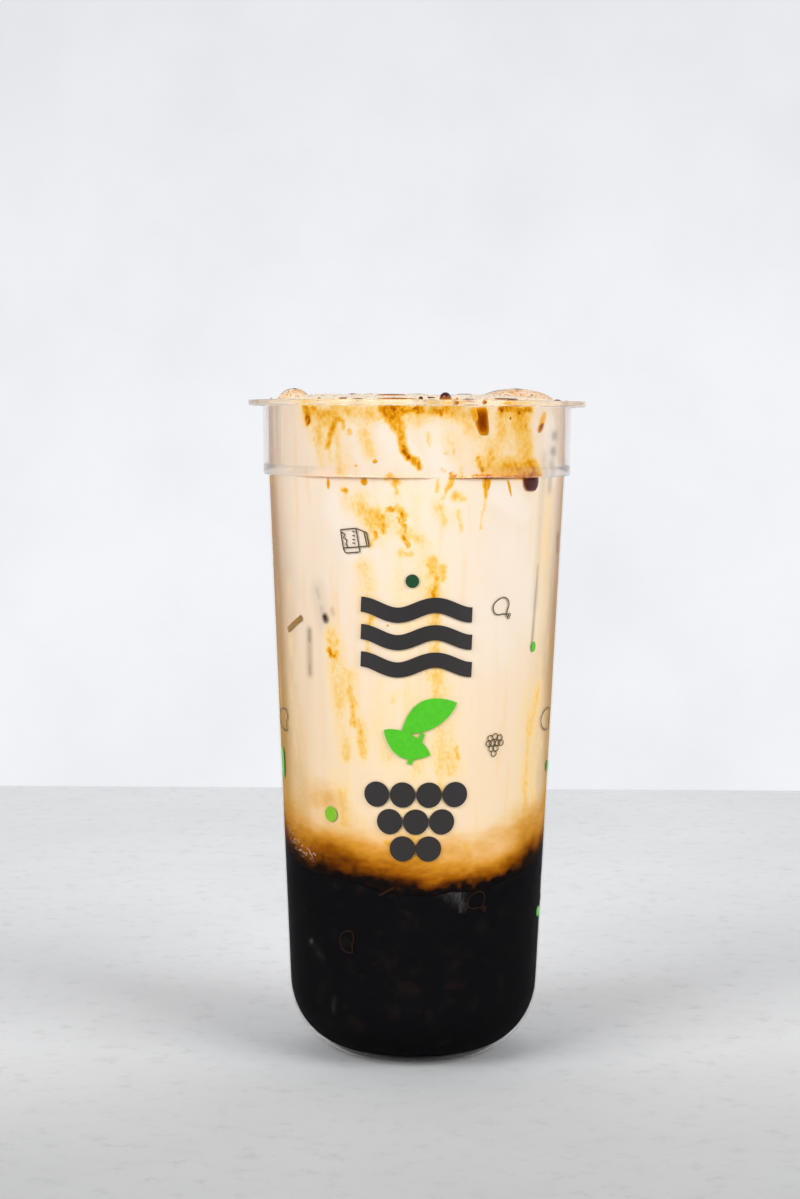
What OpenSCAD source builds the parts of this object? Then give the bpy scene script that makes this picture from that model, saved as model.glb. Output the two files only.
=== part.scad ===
// Bubble tea in its cup: a clear U-shaped cup with a skirt hanging under its rim.
// It holds a dark layer of syrup and tapioca pearls, milk up to a low dome above
// the rim, and two lumps of ice that stand out of the milk.
// Z is up, and the origin is at the middle of the base, on the table.

/* [Cup] */
// Height from the table to the top of the rim
cup_h = 174.7; // [140:0.1:220]
// Outer diameter of the body at the skirt's lower edge
shoulder_d = 79.4; // [60:0.1:100]
// Slope of the body's side from the vertical, in degrees
body_draft = 2.6; // [0.5:0.1:4]
// Width of the rounded corner at the foot
corner_w = 17; // [8:0.1:20]
// Height of the rounded corner at the foot
corner_h = 20; // [10:0.5:30]
// Thickness of the side wall
wall = 0.6; // [0.5:0.05:1.2]
// Thickness of the floor
floor_t = 0.9; // [0.7:0.1:2]
// Height of the hollow under the floor
recess_h = 0.6; // [0.3:0.1:1.5]
// Width of the flat ring that the cup stands on
stand_w = 3.5; // [2:0.1:6]

/* [Rim] */
// Depth from the rim's top to the skirt's lower edge
skirt_depth = 19.7; // [14:0.1:26]
// Slope of the skirt and of the neck inside it, in degrees
skirt_draft = 0.9; // [0.2:0.1:2]
// Thickness of the skirt
skirt_wall = 0.6; // [0.4:0.05:1]
// Air gap between the neck and the skirt
skirt_gap = 0.57; // [0.5:0.01:1.5]
// Height of the thick bead along the skirt's lower edge
bead_h = 2.6; // [1.5:0.1:4]
// Air gap between the neck and the bead
bead_gap = 0.25; // [0.2:0.05:0.5]
// How far the rim reaches out beyond the skirt
rim_reach = 3.84; // [2:0.01:8]
// Thickness of the rim
rim_t = 1.25; // [0.9:0.05:2]
// How far the lip at the rim's edge hangs below the rim
lip_drop = 0.35; // [0.1:0.05:1]
// Width of the lip at the rim's edge
lip_w = 1.2; // [0.8:0.1:2]

/* [Drink] */
// Mean height of the pearl layer's top, above the table
layer_h = 55.5; // [35:0.5:90]
// How much lower the pearl layer's top lies at the front of the wall
layer_dip = 9; // [0:0.5:12]
// Height of the waves in the pearl layer's top
layer_wave = 0.9; // [0:0.1:2]
// Rise of the milk's middle above the rim's top
milk_rise = 1.5; // [0:0.1:3]
// Depth of the milk's edge below the rim's top
milk_edge = 0.2; // [0.1:0.1:2]
// Clearance between the drink, the wall and the ice
fill_gap = 0.05; // [0.02:0.01:0.2]

/* [Ice] */
// Width of the left lump, along X
left_w = 11; // [9:0.5:20]
// Length of the left lump, along Y
left_l = 14; // [10:0.5:20]
// Rise of the left lump above the rim's top
left_rise = 3.1; // [2:0.1:5]
// Width of the right lump, along X
right_w = 25; // [20:0.5:30]
// Length of the right lump, along Y
right_l = 20; // [16:0.5:26]
// Rise of the right lump above the rim's top
right_rise = 3.4; // [2:0.1:5]
// Height of a lump of ice
ice_h = 13; // [10:0.5:20]
// Least distance from a lump to the wall
ice_gap = 0.6; // [0.3:0.1:3]

/* [Hidden] */

// Sides of a round in the mesh pieces, and rings across their tops
SECTORS = 72;
TOP_RINGS = 8;
CORNER_STEPS = 14;
ARC_STEPS = 6;

// Radii and heights that follow from the driving sizes
shoulder_r = shoulder_d / 2;
skirt_z = cup_h - skirt_depth;
rim_under = cup_h - rim_t;
lip_z = rim_under - lip_drop;
neck_top_r = slope_out(shoulder_r, rim_under - skirt_z, skirt_draft);
mouth_r = neck_top_r - wall;
skirt_in_r = shoulder_r + skirt_gap;
skirt_out_r = skirt_in_r + skirt_wall;
skirt_top_r = slope_out(skirt_out_r, rim_under - skirt_z, skirt_draft);
bead_in_r = shoulder_r + bead_gap;
rim_r = skirt_top_r + rim_reach;
edge_round = 0.3;
corner_end = atan2(corner_w, corner_h * tan(body_draft));
corner_z = corner_h * (1 - cos(corner_end));
base_r = body_r(corner_z) - corner_w * sin(corner_end);
recess_r = base_r - stand_w;
inner_floor_z = recess_h + floor_t;

// Radius reached from r after a height h at a slope
function slope_out(r, h, slope) = r + h * tan(slope);
// Outer radius of the body's straight side at height z
function body_r(z) = slope_out(shoulder_r, z - skirt_z, body_draft);
// Inner radius of the cup's straight side and neck at height z
function inner_r(z) =
    z < skirt_z ? body_r(z) - wall : slope_out(shoulder_r, z - skirt_z, skirt_draft) - wall;

// Points of an arc about [x, z], with half widths rx and rz
function arc(x, z, rx, rz, from, to, steps) =
    [for (i = [0:steps]) let (a = from + (to - from) * i / steps) [x + rx * cos(a), z + rz * sin(a)]];

// Half sections of the foot's corner, outside and inside, from the floor up
corner_out = arc(base_r, corner_h, corner_w, corner_h, -90, corner_end - 90, CORNER_STEPS);
corner_in = arc(base_r, corner_h, corner_w - wall, corner_h - inner_floor_z,
                -90, corner_end - 90, CORNER_STEPS);

// Half section of the whole cup
bead_mid_r = (bead_in_r + skirt_out_r) / 2;
bead_half = (skirt_out_r - bead_in_r) / 2;
cup_section = concat(
    [[0, recess_h], [recess_r, recess_h], [recess_r + recess_h, 0]],
    corner_out,
    [[shoulder_r, skirt_z], [neck_top_r, rim_under], [skirt_top_r - skirt_wall, rim_under]],
    [[slope_out(skirt_in_r, bead_h, skirt_draft), skirt_z + bead_h]],
    [[bead_in_r, skirt_z + bead_h - skirt_gap + bead_gap]],
    arc(bead_mid_r, skirt_z + bead_half, bead_half, bead_half, 180, 360, 2 * ARC_STEPS),
    arc(skirt_top_r + edge_round, rim_under - edge_round, edge_round, edge_round, 180, 90, ARC_STEPS),
    [[rim_r - lip_w, rim_under]],
    arc(rim_r - lip_w / 2, lip_z + lip_w / 2, lip_w / 2, lip_w / 2, 225, 360, ARC_STEPS),
    arc(rim_r - edge_round, cup_h - edge_round, edge_round, edge_round, 0, 90, ARC_STEPS),
    arc(mouth_r + edge_round, cup_h - edge_round, edge_round, edge_round, 90, 180, ARC_STEPS),
    [[inner_r(skirt_z), skirt_z]],
    [for (i = [CORNER_STEPS:-1:0]) corner_in[i]],
    [[0, inner_floor_z]]
);

// Turns a half width and a height into a point at angle a, with 0 at +X
function around(r, z, a) = [r * cos(a), r * sin(a), z];

// Height of the pearl layer's top at radius r and angle a: low at the front wall, with waves
DIP_NARROWING = 3;
function front_share(a) = pow((1 - sin(a)) / 2, DIP_NARROWING);
function waves(r, a) = (sin(3 * a + 40) + sin(5 * a + 9 * r) + 0.6 * sin(9 * a - 7 * r)) / 2;
function layer_z(r, a) =
    let (out = r / inner_r(layer_h))
    layer_h - layer_dip * front_share(a) * out * out + layer_wave * waves(r, a) * out;

// Height of the milk's top at radius r: flat in the middle, and falling at the wall
EDGE_SHARPNESS = 6;
function milk_z(r) =
    cup_h - milk_edge + (milk_rise + milk_edge) * (1 - pow(r / mouth_r, EDGE_SHARPNESS));

// The two triangles between points p and q of one ring and those above them, with either diagonal
function panel(p, q, count, turned) =
    turned
        ? [[p, p + count, q + count], [p, q + count, q]]
        : [[p, p + count, q], [q, p + count, q + count]];

// A closed skin over rings of points, from a first middle point to a last one.
// Two skins that meet take the same diagonals: the one whose rings run inwards is turned.
module skin(low, rings, high, turned = false) {
    count = len(rings[0]);
    last = len(rings) - 1;
    top = 1 + count * (last + 1);
    points = concat([low], [for (ring = rings) each ring], [high]);
    faces = concat(
        [for (i = [0:count - 1]) [0, 1 + i, 1 + (i + 1) % count]],
        [for (k = [0:last - 1], i = [0:count - 1])
            each panel(1 + k * count + i, 1 + k * count + (i + 1) % count, count, turned)],
        [for (i = [0:count - 1]) [top, 1 + last * count + (i + 1) % count, 1 + last * count + i]]
    );
    polyhedron(points, faces, convexity = 6);
}

// One ring of the layer's top or of the milk's underside, a share of the way to the wall
function layer_ring(share, gap) =
    [for (i = [0:SECTORS - 1])
        let (a = 360 * i / SECTORS,
             r = share * (inner_r(layer_z(inner_r(layer_h), a)) - fill_gap))
        around(r, layer_z(r, a) + gap, a)];

// One round ring at radius r and height z
function flat_ring(r, z) = [for (i = [0:SECTORS - 1]) around(r, z, 360 * i / SECTORS)];

module cup() {
    color("gainsboro", 0.4)
    rotate_extrude($fn = 180)
    polygon(cup_section);
}

module pearl_layer() {
    foot = [for (p = corner_in) flat_ring(p[0] - fill_gap, p[1] + fill_gap)];
    top = [for (k = [TOP_RINGS:-1:1]) layer_ring(k / TOP_RINGS, 0)];
    color("#1a1412")
    skin([0, 0, inner_floor_z + fill_gap], concat(foot, top), [0, 0, layer_z(0, 0)], turned = true);
}

module milk() {
    middle = layer_z(0, 0) + fill_gap;
    underside = [for (k = [1:TOP_RINGS]) layer_ring(k / TOP_RINGS, fill_gap)];
    side = [flat_ring(inner_r(skirt_z) - fill_gap, skirt_z)];
    shares = [for (k = [0:TOP_RINGS - 1]) cos(90 * k / TOP_RINGS)];
    dome = [for (s = shares) let (r = s * (mouth_r - fill_gap)) flat_ring(r, milk_z(r))];
    color("#f3dcc2")
    difference() {
        skin([0, 0, middle], concat(underside, side, dome), [0, 0, milk_z(0)]);
        left_lump(fill_gap);
        right_lump(fill_gap);
    }
}

// A rounded lump of ice of size w, l, h with its top at top_z, grown by gap all round
LUMP_SIDES = 24;
LUMP_RINGS = 11;
BOXY = 3;
DENT = 0.03;
function boxy(a) = pow(pow(abs(cos(a)), BOXY) + pow(abs(sin(a)), BOXY), -1 / BOXY);
function dented(a, b) = boxy(a) * (1 + DENT * cos(b) * (sin(3 * a + 2 * b) + cos(2 * a - 60)));
function lump_ring(w, l, h, b) =
    [for (i = [0:LUMP_SIDES - 1])
        let (a = 360 * i / LUMP_SIDES, s = dented(a, b) * cos(b))
        [w / 2 * s * cos(a), l / 2 * s * sin(a), h / 2 * sin(b)]];
module lump(w, l, h, gap) {
    grown = [w + 2 * gap, l + 2 * gap, h + 2 * gap];
    bands = [for (k = [1:LUMP_RINGS]) -90 + 180 * k / (LUMP_RINGS + 1)];
    skin([0, 0, -grown[2] / 2],
         [for (b = bands) lump_ring(grown[0], grown[1], grown[2], b)],
         [0, 0, grown[2] / 2]);
}

// Each lump keeps its distance to the wall, so it moves with the mouth's radius
module left_lump(gap) {
    reach = mouth_r - ice_gap - left_w / 2 * dented(180, 0);
    turn = 190;
    translate([reach * cos(turn), reach * sin(turn), cup_h + left_rise - ice_h / 2])
    lump(left_w, left_l, ice_h, gap);
}
module right_lump(gap) {
    reach = mouth_r - ice_gap - right_w / 2 * dented(0, 0);
    turn = -8;
    translate([reach * cos(turn), reach * sin(turn), cup_h + right_rise - ice_h / 2])
    lump(right_w, right_l, ice_h, gap);
}

module ice_left() {
    color("#f6e4cf")
    left_lump(0);
}

module ice_right() {
    color("#f4e0c6")
    right_lump(0);
}

cup();
milk();
pearl_layer();
ice_left();
ice_right();
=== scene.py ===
import math

import bpy
import numpy as np
from mathutils import Matrix, Vector


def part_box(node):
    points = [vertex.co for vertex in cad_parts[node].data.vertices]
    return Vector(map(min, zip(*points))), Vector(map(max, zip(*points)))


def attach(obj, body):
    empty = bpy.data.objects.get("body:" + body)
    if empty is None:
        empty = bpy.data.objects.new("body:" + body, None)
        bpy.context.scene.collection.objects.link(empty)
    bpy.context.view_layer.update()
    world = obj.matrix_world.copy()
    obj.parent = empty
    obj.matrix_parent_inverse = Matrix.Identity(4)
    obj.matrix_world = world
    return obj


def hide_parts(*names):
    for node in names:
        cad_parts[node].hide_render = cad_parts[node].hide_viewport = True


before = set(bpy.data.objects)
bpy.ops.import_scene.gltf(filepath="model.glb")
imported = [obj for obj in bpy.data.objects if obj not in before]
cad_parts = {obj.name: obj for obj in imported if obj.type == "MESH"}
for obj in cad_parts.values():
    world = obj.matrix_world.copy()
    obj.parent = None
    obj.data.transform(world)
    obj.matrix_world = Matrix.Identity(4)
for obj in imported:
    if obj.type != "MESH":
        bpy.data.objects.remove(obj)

bl_info = {
    "name": "Bubble Tea in a Clear Cup",
    "version": (1, 0, 0),
    "blender": (4, 5, 0),
    "location": "3D View > Sidebar > Bubble Tea",
    "description": "Makes a cup of milk tea with syrup, pearls and ice around its packed frame",
    "category": "Object",
}

# Angles are in degrees round the cup: 0 at the front, 90 at the right, 180 at the back.
# Functions work in millimetres; a mesh is written in metres.
MM = 0.001
BODY = "root"
CUP_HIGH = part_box("cup")[1]
ICE_NODES = ("ice_left", "ice_right")
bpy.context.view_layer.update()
SEED = 7


# ---------------------------------------------------------------- sizes and colours

def length(name, description, millimetres):
    """A size that the user can change."""
    return bpy.props.FloatProperty(
        name=name, description=description, default=millimetres * MM, unit="LENGTH", precision=5)


def angle(name, description, degrees):
    """An angle that the user can change."""
    return bpy.props.FloatProperty(
        name=name, description=description, default=math.radians(degrees), unit="ROTATION")


def linear(red, green, blue):
    """Linear light from the red, green and blue that a screen shows, each 0 to 255."""
    shown = [c / 255 for c in (red, green, blue)]
    return tuple(c / 12.92 if c <= 0.04045 else ((c + 0.055) / 1.055) ** 2.4 for c in shown)


def colour(name, description, red, green, blue):
    """A colour that the user can change."""
    return bpy.props.FloatVectorProperty(
        name=name, description=description, default=linear(red, green, blue), size=3,
        subtype="COLOR", min=0, max=1)


class CupSizes(bpy.types.PropertyGroup):
    """The moulded cup's section."""
    height: length("Height", "From the table to the top of the rim", CUP_HIGH.z / MM)
    rim_radius: length("Rim radius", "Outer radius of the rim", CUP_HIGH.x / MM)
    shoulder_radius: length("Shoulder radius", "Outer radius at the skirt's lower edge", 39.7)
    body_draft: angle("Body draft", "Slope of the side from the vertical", 2.6)
    corner_width: length("Corner width", "Width of the rounded corner at the foot", 17)
    corner_height: length("Corner height", "Height of the rounded corner at the foot", 20)
    wall: length("Wall", "Thickness of the side", 0.6)
    floor: length("Floor", "Thickness of the floor", 0.9)
    recess: length("Recess", "Height of the hollow under the floor", 0.6)
    stand_width: length("Stand width", "Width of the ring that the cup stands on", 3.5)
    skirt_depth: length("Skirt depth", "From the rim's top to the skirt's lower edge", 19.7)
    skirt_draft: angle("Skirt draft", "Slope of the skirt and of the neck", 0.9)
    skirt_gap: length("Skirt gap", "Air between the neck and the skirt", 0.57)
    skirt_wall: length("Skirt wall", "Thickness of the skirt", 0.6)
    bead_height: length("Bead height", "Height of the bead on the skirt's edge", 2.6)
    bead_gap: length("Bead gap", "Air between the neck and the bead", 0.25)
    rim_thickness: length("Rim thickness", "Thickness of the flat rim", 1.25)
    lip_drop: length("Lip drop", "How far the rim's edge hangs below the rim", 0.35)
    lip_width: length("Lip width", "Width of the rim's thick edge", 1.2)
    edge_round: length("Edge rounding", "Radius of the rim's rounded edges", 0.3)
    segments: bpy.props.IntProperty(name="Segments", description="Sides of the round", default=192, min=24)


class DrinkSizes(bpy.types.PropertyGroup):
    """How the drink fills the cup."""
    reach: length("Reach", "How far the drink reaches into the cup's wall", 0.2)
    rise: length("Rise", "Rise of the milk's middle above the rim", 1.5)
    edge: length("Edge", "Depth of the milk's edge below the rim", 0.2)
    pearl_radius: length("Pearl radius", "Radius of a tapioca pearl", 4.3)
    bubble_radius: length("Bubble radius", "Radius of a large froth bubble", 0.55)
    fleck_radius: length("Fleck radius", "Radius of a large fleck of syrup", 0.42)


class PartColours(bpy.types.PropertyGroup):
    """Colours under an even white light, except tan and caramel, which hold painted shade of the milk's
    sides as well as its browner tone.
    """
    cream: colour("Cream", "Milk in front, where it is palest", 252, 232, 210)
    # Tan and caramel hold painted shade: the milk darkens towards the cup's sides.
    tan: colour("Tan", "Milk at the sides of the cup", 180, 146, 114)
    low_cream: colour("Low cream", "Milk in front, lower down", 252, 226, 190)
    caramel: colour("Caramel", "Milk at the sides, lower down", 182, 140, 72)
    ice_grey: colour("Ice grey", "Milk with ice just behind it", 253, 241, 226)
    froth: colour("Froth", "Milk on top", 250, 226, 190)
    black: colour("Black", "Syrup and pearls in the dark layer", 16, 16, 18)
    charcoal: colour("Charcoal", "Dark print", 47, 43, 43)
    leaf_green: colour("Leaf green", "Bright green print", 82, 200, 34)
    pale_green: colour("Pale green", "Yellow-green print", 134, 196, 32)
    deep_green: colour("Deep green", "Dark green print", 24, 74, 42)
    ochre: colour("Ochre", "Ochre print", 160, 116, 40)


class StageSizes(bpy.types.PropertyGroup):
    """Camera and stage."""
    distance: length("Distance", "Camera's distance in front of the cup's axis", 660)
    eye_height: length("Eye height", "Camera's height above the table", 169.2)
    aside: length("Aside", "Camera's place to the left of the cup's axis", 4.23)
    tilt: angle("Tilt", "How far the camera looks down", 4.137)
    roll: angle("Roll", "How far the camera leans", 0.36)
    lens: bpy.props.FloatProperty(name="Lens", description="Focal length on a 36 mm side", default=74.0)
    table_back: length("Table back", "Where the table ends behind the cup", 470)


def settings():
    """The user's settings for this part."""
    return bpy.context.scene.bubble_tea


class BubbleTeaSettings(bpy.types.PropertyGroup):
    """All settings of the part."""
    cup: bpy.props.PointerProperty(type=CupSizes, name="Cup", description="The cup's sizes")
    drink: bpy.props.PointerProperty(type=DrinkSizes, name="Drink", description="The drink's sizes")
    colours: bpy.props.PointerProperty(type=PartColours, name="Colours", description="Colours")
    stage: bpy.props.PointerProperty(type=StageSizes, name="Stage", description="Camera and stage")


# ---------------------------------------------------------------- the cup's section

class Section:
    """The cup's half section in millimetres, worked out from the settings."""

    def __init__(self, cup):
        mm = {key: getattr(cup, key) / MM for key in CupSizes.__annotations__ if key != "segments"}
        self.height, self.rim = mm["height"], mm["rim_radius"]
        self.shoulder, self.wall = mm["shoulder_radius"], mm["wall"]
        self.draft, self.skirt_draft = math.tan(cup.body_draft), math.tan(cup.skirt_draft)
        self.corner_w, self.corner_h = mm["corner_width"], mm["corner_height"]
        self.floor_z = mm["recess"] + mm["floor"]
        self.skirt_z = self.height - mm["skirt_depth"]
        self.rim_under = self.height - mm["rim_thickness"]
        self.end = math.atan2(self.corner_w, self.corner_h * self.draft)
        self.corner_z = self.corner_h * (1 - math.cos(self.end))
        self.base = self.side(self.corner_z) - self.corner_w * math.sin(self.end)
        self.skirt_rise = (self.rim_under - self.skirt_z) * self.skirt_draft
        self.neck = self.shoulder + self.skirt_rise
        self.mouth = self.neck - self.wall
        self.skirt_in = self.shoulder + mm["skirt_gap"]
        self.skirt_out = self.skirt_in + mm["skirt_wall"]
        self.bead_in = self.shoulder + mm["bead_gap"]
        self.bead_top = self.skirt_z + mm["bead_height"]
        self.mm = mm

    def side(self, z):
        """Outer radius of the body's straight side."""
        return self.shoulder + (z - self.skirt_z) * self.draft

    def inner(self, z):
        """Inner radius at height z, for a number or an array."""
        z = np.asarray(z, float)
        neck = self.shoulder + (z - self.skirt_z) * self.skirt_draft
        straight = np.where(z < self.skirt_z, self.side(z), neck) - self.wall
        drop = np.clip((self.corner_h - z) / (self.corner_h - self.floor_z), 0, 1)
        corner = self.base + (self.corner_w - self.wall) * np.sqrt(1 - drop ** 2)
        return np.where(z < self.corner_z, corner, straight)

    def outer(self, z):
        """Outer radius of the body and, above its lower edge, of the skirt."""
        z = np.asarray(z, float)
        skirt = self.skirt_out + (z - self.skirt_z) * self.skirt_draft
        drop = np.clip((self.corner_h - z) / self.corner_h, 0, 1)
        corner = self.base + self.corner_w * np.sqrt(1 - drop ** 2)
        return np.where(z < self.corner_z, corner, np.where(z < self.skirt_z, self.side(z), skirt))

    def outline(self):
        """Points of the half section, from the floor's underside round to its top."""
        mm, edge = self.mm, self.mm["edge_round"]
        recess, stand = mm["recess"], self.base - mm["stand_width"]
        bead = (self.skirt_out - self.bead_in) / 2
        top = self.skirt_out + self.skirt_rise
        half_lip = mm["lip_width"] / 2
        lip_z = self.rim_under - mm["lip_drop"] + half_lip
        turn = math.degrees(self.end) - 90
        inside = arc(self.base, self.corner_h, self.corner_w - self.wall,
                     self.corner_h - self.floor_z, -90, turn, 24)
        # Offsets of 0.02 to 0.6 mm soften the turns at the stand and at the bead.
        return [
            (0, recess), (stand - 0.3, recess), *arc(stand + recess, recess, recess, recess, 180, 270, 5),
            *arc(self.base, self.corner_h, self.corner_w, self.corner_h, -90, turn, 28),
            *straight((self.side(self.corner_z), self.corner_z), (self.shoulder, self.skirt_z), 12),
            *straight((self.shoulder, self.skirt_z), (self.neck - edge, self.rim_under), 6)[1:],
            (top - mm["skirt_wall"] + edge, self.rim_under),
            (top - mm["skirt_wall"], self.rim_under - edge),
            (self.skirt_in + mm["bead_height"] * self.skirt_draft, self.bead_top),
            (self.bead_in + 0.05, self.bead_top - 0.5),
            *arc(self.skirt_out - bead, self.skirt_z + bead, bead, bead, 180, 360, 14),
            (self.skirt_out + 0.04, self.bead_top), (self.skirt_out + 0.02, self.bead_top + 0.6),
            *arc(top + edge, self.rim_under - edge, edge, edge, 180, 90, 5),
            (self.rim - mm["lip_width"], self.rim_under),
            *arc(self.rim - half_lip, lip_z, half_lip, half_lip, 225, 360, 8),
            *arc(self.rim - edge, self.height - edge, edge, edge, 0, 90, 5),
            *arc(self.mouth + edge, self.height - edge, edge, edge, 90, 180, 5),
            *straight((self.mouth, self.rim_under), (self.shoulder - self.wall, self.skirt_z), 6),
            *straight((self.shoulder - self.wall, self.skirt_z), inside[-1], 12)[1:],
            *inside[-2::-1], (0, self.floor_z)]


def arc(x, z, rx, rz, start, stop, steps):
    """Points of an arc about (x, z), from one angle to another."""
    turns = np.radians(np.linspace(start, stop, steps + 1))
    return [(x + rx * math.cos(a), z + rz * math.sin(a)) for a in turns]


def straight(start, stop, steps):
    """Evenly spaced points from start to stop."""
    return [tuple(p) for p in np.linspace(start, stop, steps + 1)]


def section():
    """The section for the present settings."""
    return Section(settings().cup)


# ---------------------------------------------------------------- mesh helpers

def place(turn, radius, z):
    """Points in metres at an angle in degrees, a radius and a height."""
    a, radius, z = np.broadcast_arrays(np.radians(turn), radius, z)
    return np.stack([radius * np.sin(a), -radius * np.cos(a), z], axis=-1) * MM


def all_round(count):
    """Evenly spaced angles in degrees, once round the cup."""
    return np.arange(count) * 360 / count


def polar(points):
    """Angle in degrees, radius and height in millimetres of points in metres."""
    x, y, z = np.moveaxis(np.asarray(points, float) / MM, -1, 0)
    return np.degrees(np.arctan2(x, -y)), np.hypot(x, y), z


def mesh_of(name, vertices, faces):
    """A smooth mesh from vertices and faces."""
    mesh = bpy.data.meshes.new(name)
    mesh.from_pydata([tuple(v) for v in vertices], [], [tuple(int(i) for i in f) for f in faces])
    mesh.validate()
    mesh.polygons.foreach_set("use_smooth", [True] * len(mesh.polygons))
    mesh.update()
    return mesh


def grid_faces(rows, columns, first=0, closed=True):
    """Quads between rows of points, each row running to the right round the cup."""
    faces = []
    for r in range(rows - 1):
        for c in range(columns if closed else columns - 1):
            a, b = first + r * columns + c, first + r * columns + (c + 1) % columns
            faces.append((a, b, b + columns, a + columns))
    return faces


def closed_skin(low, rings, high):
    """Vertices and faces of a closed skin from a lowest middle point over rings to a highest one."""
    count = len(rings[0])
    vertices = np.concatenate([[low], *rings, [high]])
    last = 1 + count * (len(rings) - 1)
    top = len(vertices) - 1
    faces = [(0, 1 + (i + 1) % count, 1 + i) for i in range(count)]
    faces += grid_faces(len(rings), count, 1)
    faces += [(top, last + i, last + (i + 1) % count) for i in range(count)]
    return vertices, faces


def add_object(name, mesh, material=None):
    """An object at the origin, with its material unless a node tree sets that."""
    piece = bpy.data.objects.new(name, mesh)
    bpy.context.scene.collection.objects.link(piece)
    if material:
        mesh.materials.append(material)
    return piece


def keep(piece):
    """Makes a piece ride on the cup."""
    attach(piece, BODY)


def write_attribute(mesh, name, values, kind="FLOAT"):
    """Stores one value for each vertex, which a material reads by name."""
    layer = mesh.attributes.new(name, kind, "POINT")
    values = np.asarray(values, np.float32)
    layer.data.foreach_set("color" if kind == "FLOAT_COLOR" else "value", values.ravel())


def joined(parts):
    """Vertices and faces of several parts as one list each."""
    vertices, faces, start = [], [], 0
    for points, sides in parts:
        vertices.append(points)
        faces += [tuple(i + start for i in side) for side in sides]
        start += len(points)
    return np.concatenate(vertices), faces


def smooth_step(low, high, value):
    """0 below low, 1 above high, and a smooth rise between."""
    share = np.clip((value - low) / (high - low), 0, 1)
    return share * share * (3 - 2 * share)


# ---------------------------------------------------------------- node trees

class Tree:
    """Adds nodes to a tree. An input is a value or another node's output."""

    def __init__(self, tree):
        self.tree = tree

    def add(self, kind, inputs=None, out=0, **options):
        """Adds a node and gives one of its outputs."""
        node = self.tree.nodes.new(kind)
        for key, value in options.items():
            setattr(node, key, value)
        for key, value in (inputs or {}).items():
            socket = node.inputs[key]
            if isinstance(value, bpy.types.NodeSocket):
                self.tree.links.new(value, socket)
            else:
                socket.default_value = value
        return node.outputs[out] if len(node.outputs) else node

    def calc(self, operation, a, b=0.0, c=0.0, clamp=False):
        """A Math node."""
        return self.add("ShaderNodeMath", {0: a, 1: b, 2: c}, operation=operation, use_clamp=clamp)

    def times(self, a, b, clamp=False):
        """A Math node that multiplies."""
        return self.calc("MULTIPLY", a, b, clamp=clamp)

    def attribute(self, name):
        """A number that the mesh stores for each vertex."""
        return self.add("ShaderNodeAttribute", out=2, attribute_name=name)

    def fit(self, value, low, high, to_low=0.0, to_high=1.0):
        """Maps a range smoothly to another."""
        return self.add("ShaderNodeMapRange",
                        {0: value, 1: low, 2: high, 3: to_low, 4: to_high},
                        interpolation_type="SMOOTHSTEP")

    def blend(self, share, a, b):
        """Mixes two colours."""
        fixed = [v if isinstance(v, bpy.types.NodeSocket) else (*v, 1) for v in (a, b)]
        return self.add("ShaderNodeMix", {"Factor": share, 6: fixed[0], 7: fixed[1]}, out=2,
                        data_type="RGBA", clamp_factor=True)

    def ramp(self, value, stops):
        """A colour ramp through (place, colour) stops."""
        node = self.tree.nodes.new("ShaderNodeValToRGB")
        elements = node.color_ramp.elements
        while len(elements) < len(stops):
            elements.new(0.5)
        for element, (at, shade) in zip(elements, stops):
            element.position = at
            element.color = (*shade, 1)
        self.tree.links.new(value, node.inputs[0])
        return node.outputs[0]

    def stretched(self, across, along):
        """Object coordinates in units of about across mm sideways and along mm up."""
        spot = self.add("ShaderNodeTexCoord", out=3)
        scale = [1 / (size * MM) for size in (across, across, along)]
        return self.add("ShaderNodeMapping", {0: spot, 3: scale})

    def noise(self, across, along=None, detail=3.0, rough=0.55, shift=0.0):
        """Noise with patches of about across mm by along mm."""
        vector = self.stretched(across, along or across)
        if shift:
            vector = self.add("ShaderNodeVectorMath", {0: vector, 1: (shift, shift, shift)}, operation="ADD")
        inputs = {"Vector": vector, "Scale": 1.0, "Detail": detail, "Roughness": rough}
        return self.add("ShaderNodeTexNoise", inputs)

    def cells(self, across):
        """Distance to the middle of the nearest of many cells, about across mm wide."""
        return self.add("ShaderNodeTexVoronoi", {"Vector": self.stretched(across, across), "Scale": 1.0})

    def scaled(self, shade, factor):
        """A colour multiplied by a number."""
        return self.add("ShaderNodeVectorMath", {0: shade, "Scale": factor}, operation="SCALE")


def new_material(name):
    """An empty node material and its tree."""
    material = bpy.data.materials.new(name)
    material.use_nodes = True
    material.node_tree.nodes.clear()
    return material, Tree(material.node_tree)


def finish_material(material, tree, shader):
    """Sends a shader to the output and gives the material back."""
    tree.add("ShaderNodeOutputMaterial", {0: shader})
    return material


def principled(tree, **inputs):
    """A Principled shader, with its inputs by name and _ for a space."""
    named = {key.replace("_", " "): value for key, value in inputs.items()}
    for key, value in named.items():
        if isinstance(value, tuple) and len(value) == 3:
            named[key] = (*value, 1)
    return tree.add("ShaderNodeBsdfPrincipled", named)


def matt(tree, shade, rough):
    """A finish without gloss, for what lies behind the cup's wall."""
    return principled(tree, Base_Color=shade, Roughness=rough, IOR=1.3, Specular_IOR_Level=0.0)


def bump(tree, height, strength, distance):
    """A normal from a height in millimetres."""
    return tree.add("ShaderNodeBump", {"Height": height, "Strength": strength, "Distance": distance * MM})


# ---------------------------------------------------------------- materials

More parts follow.
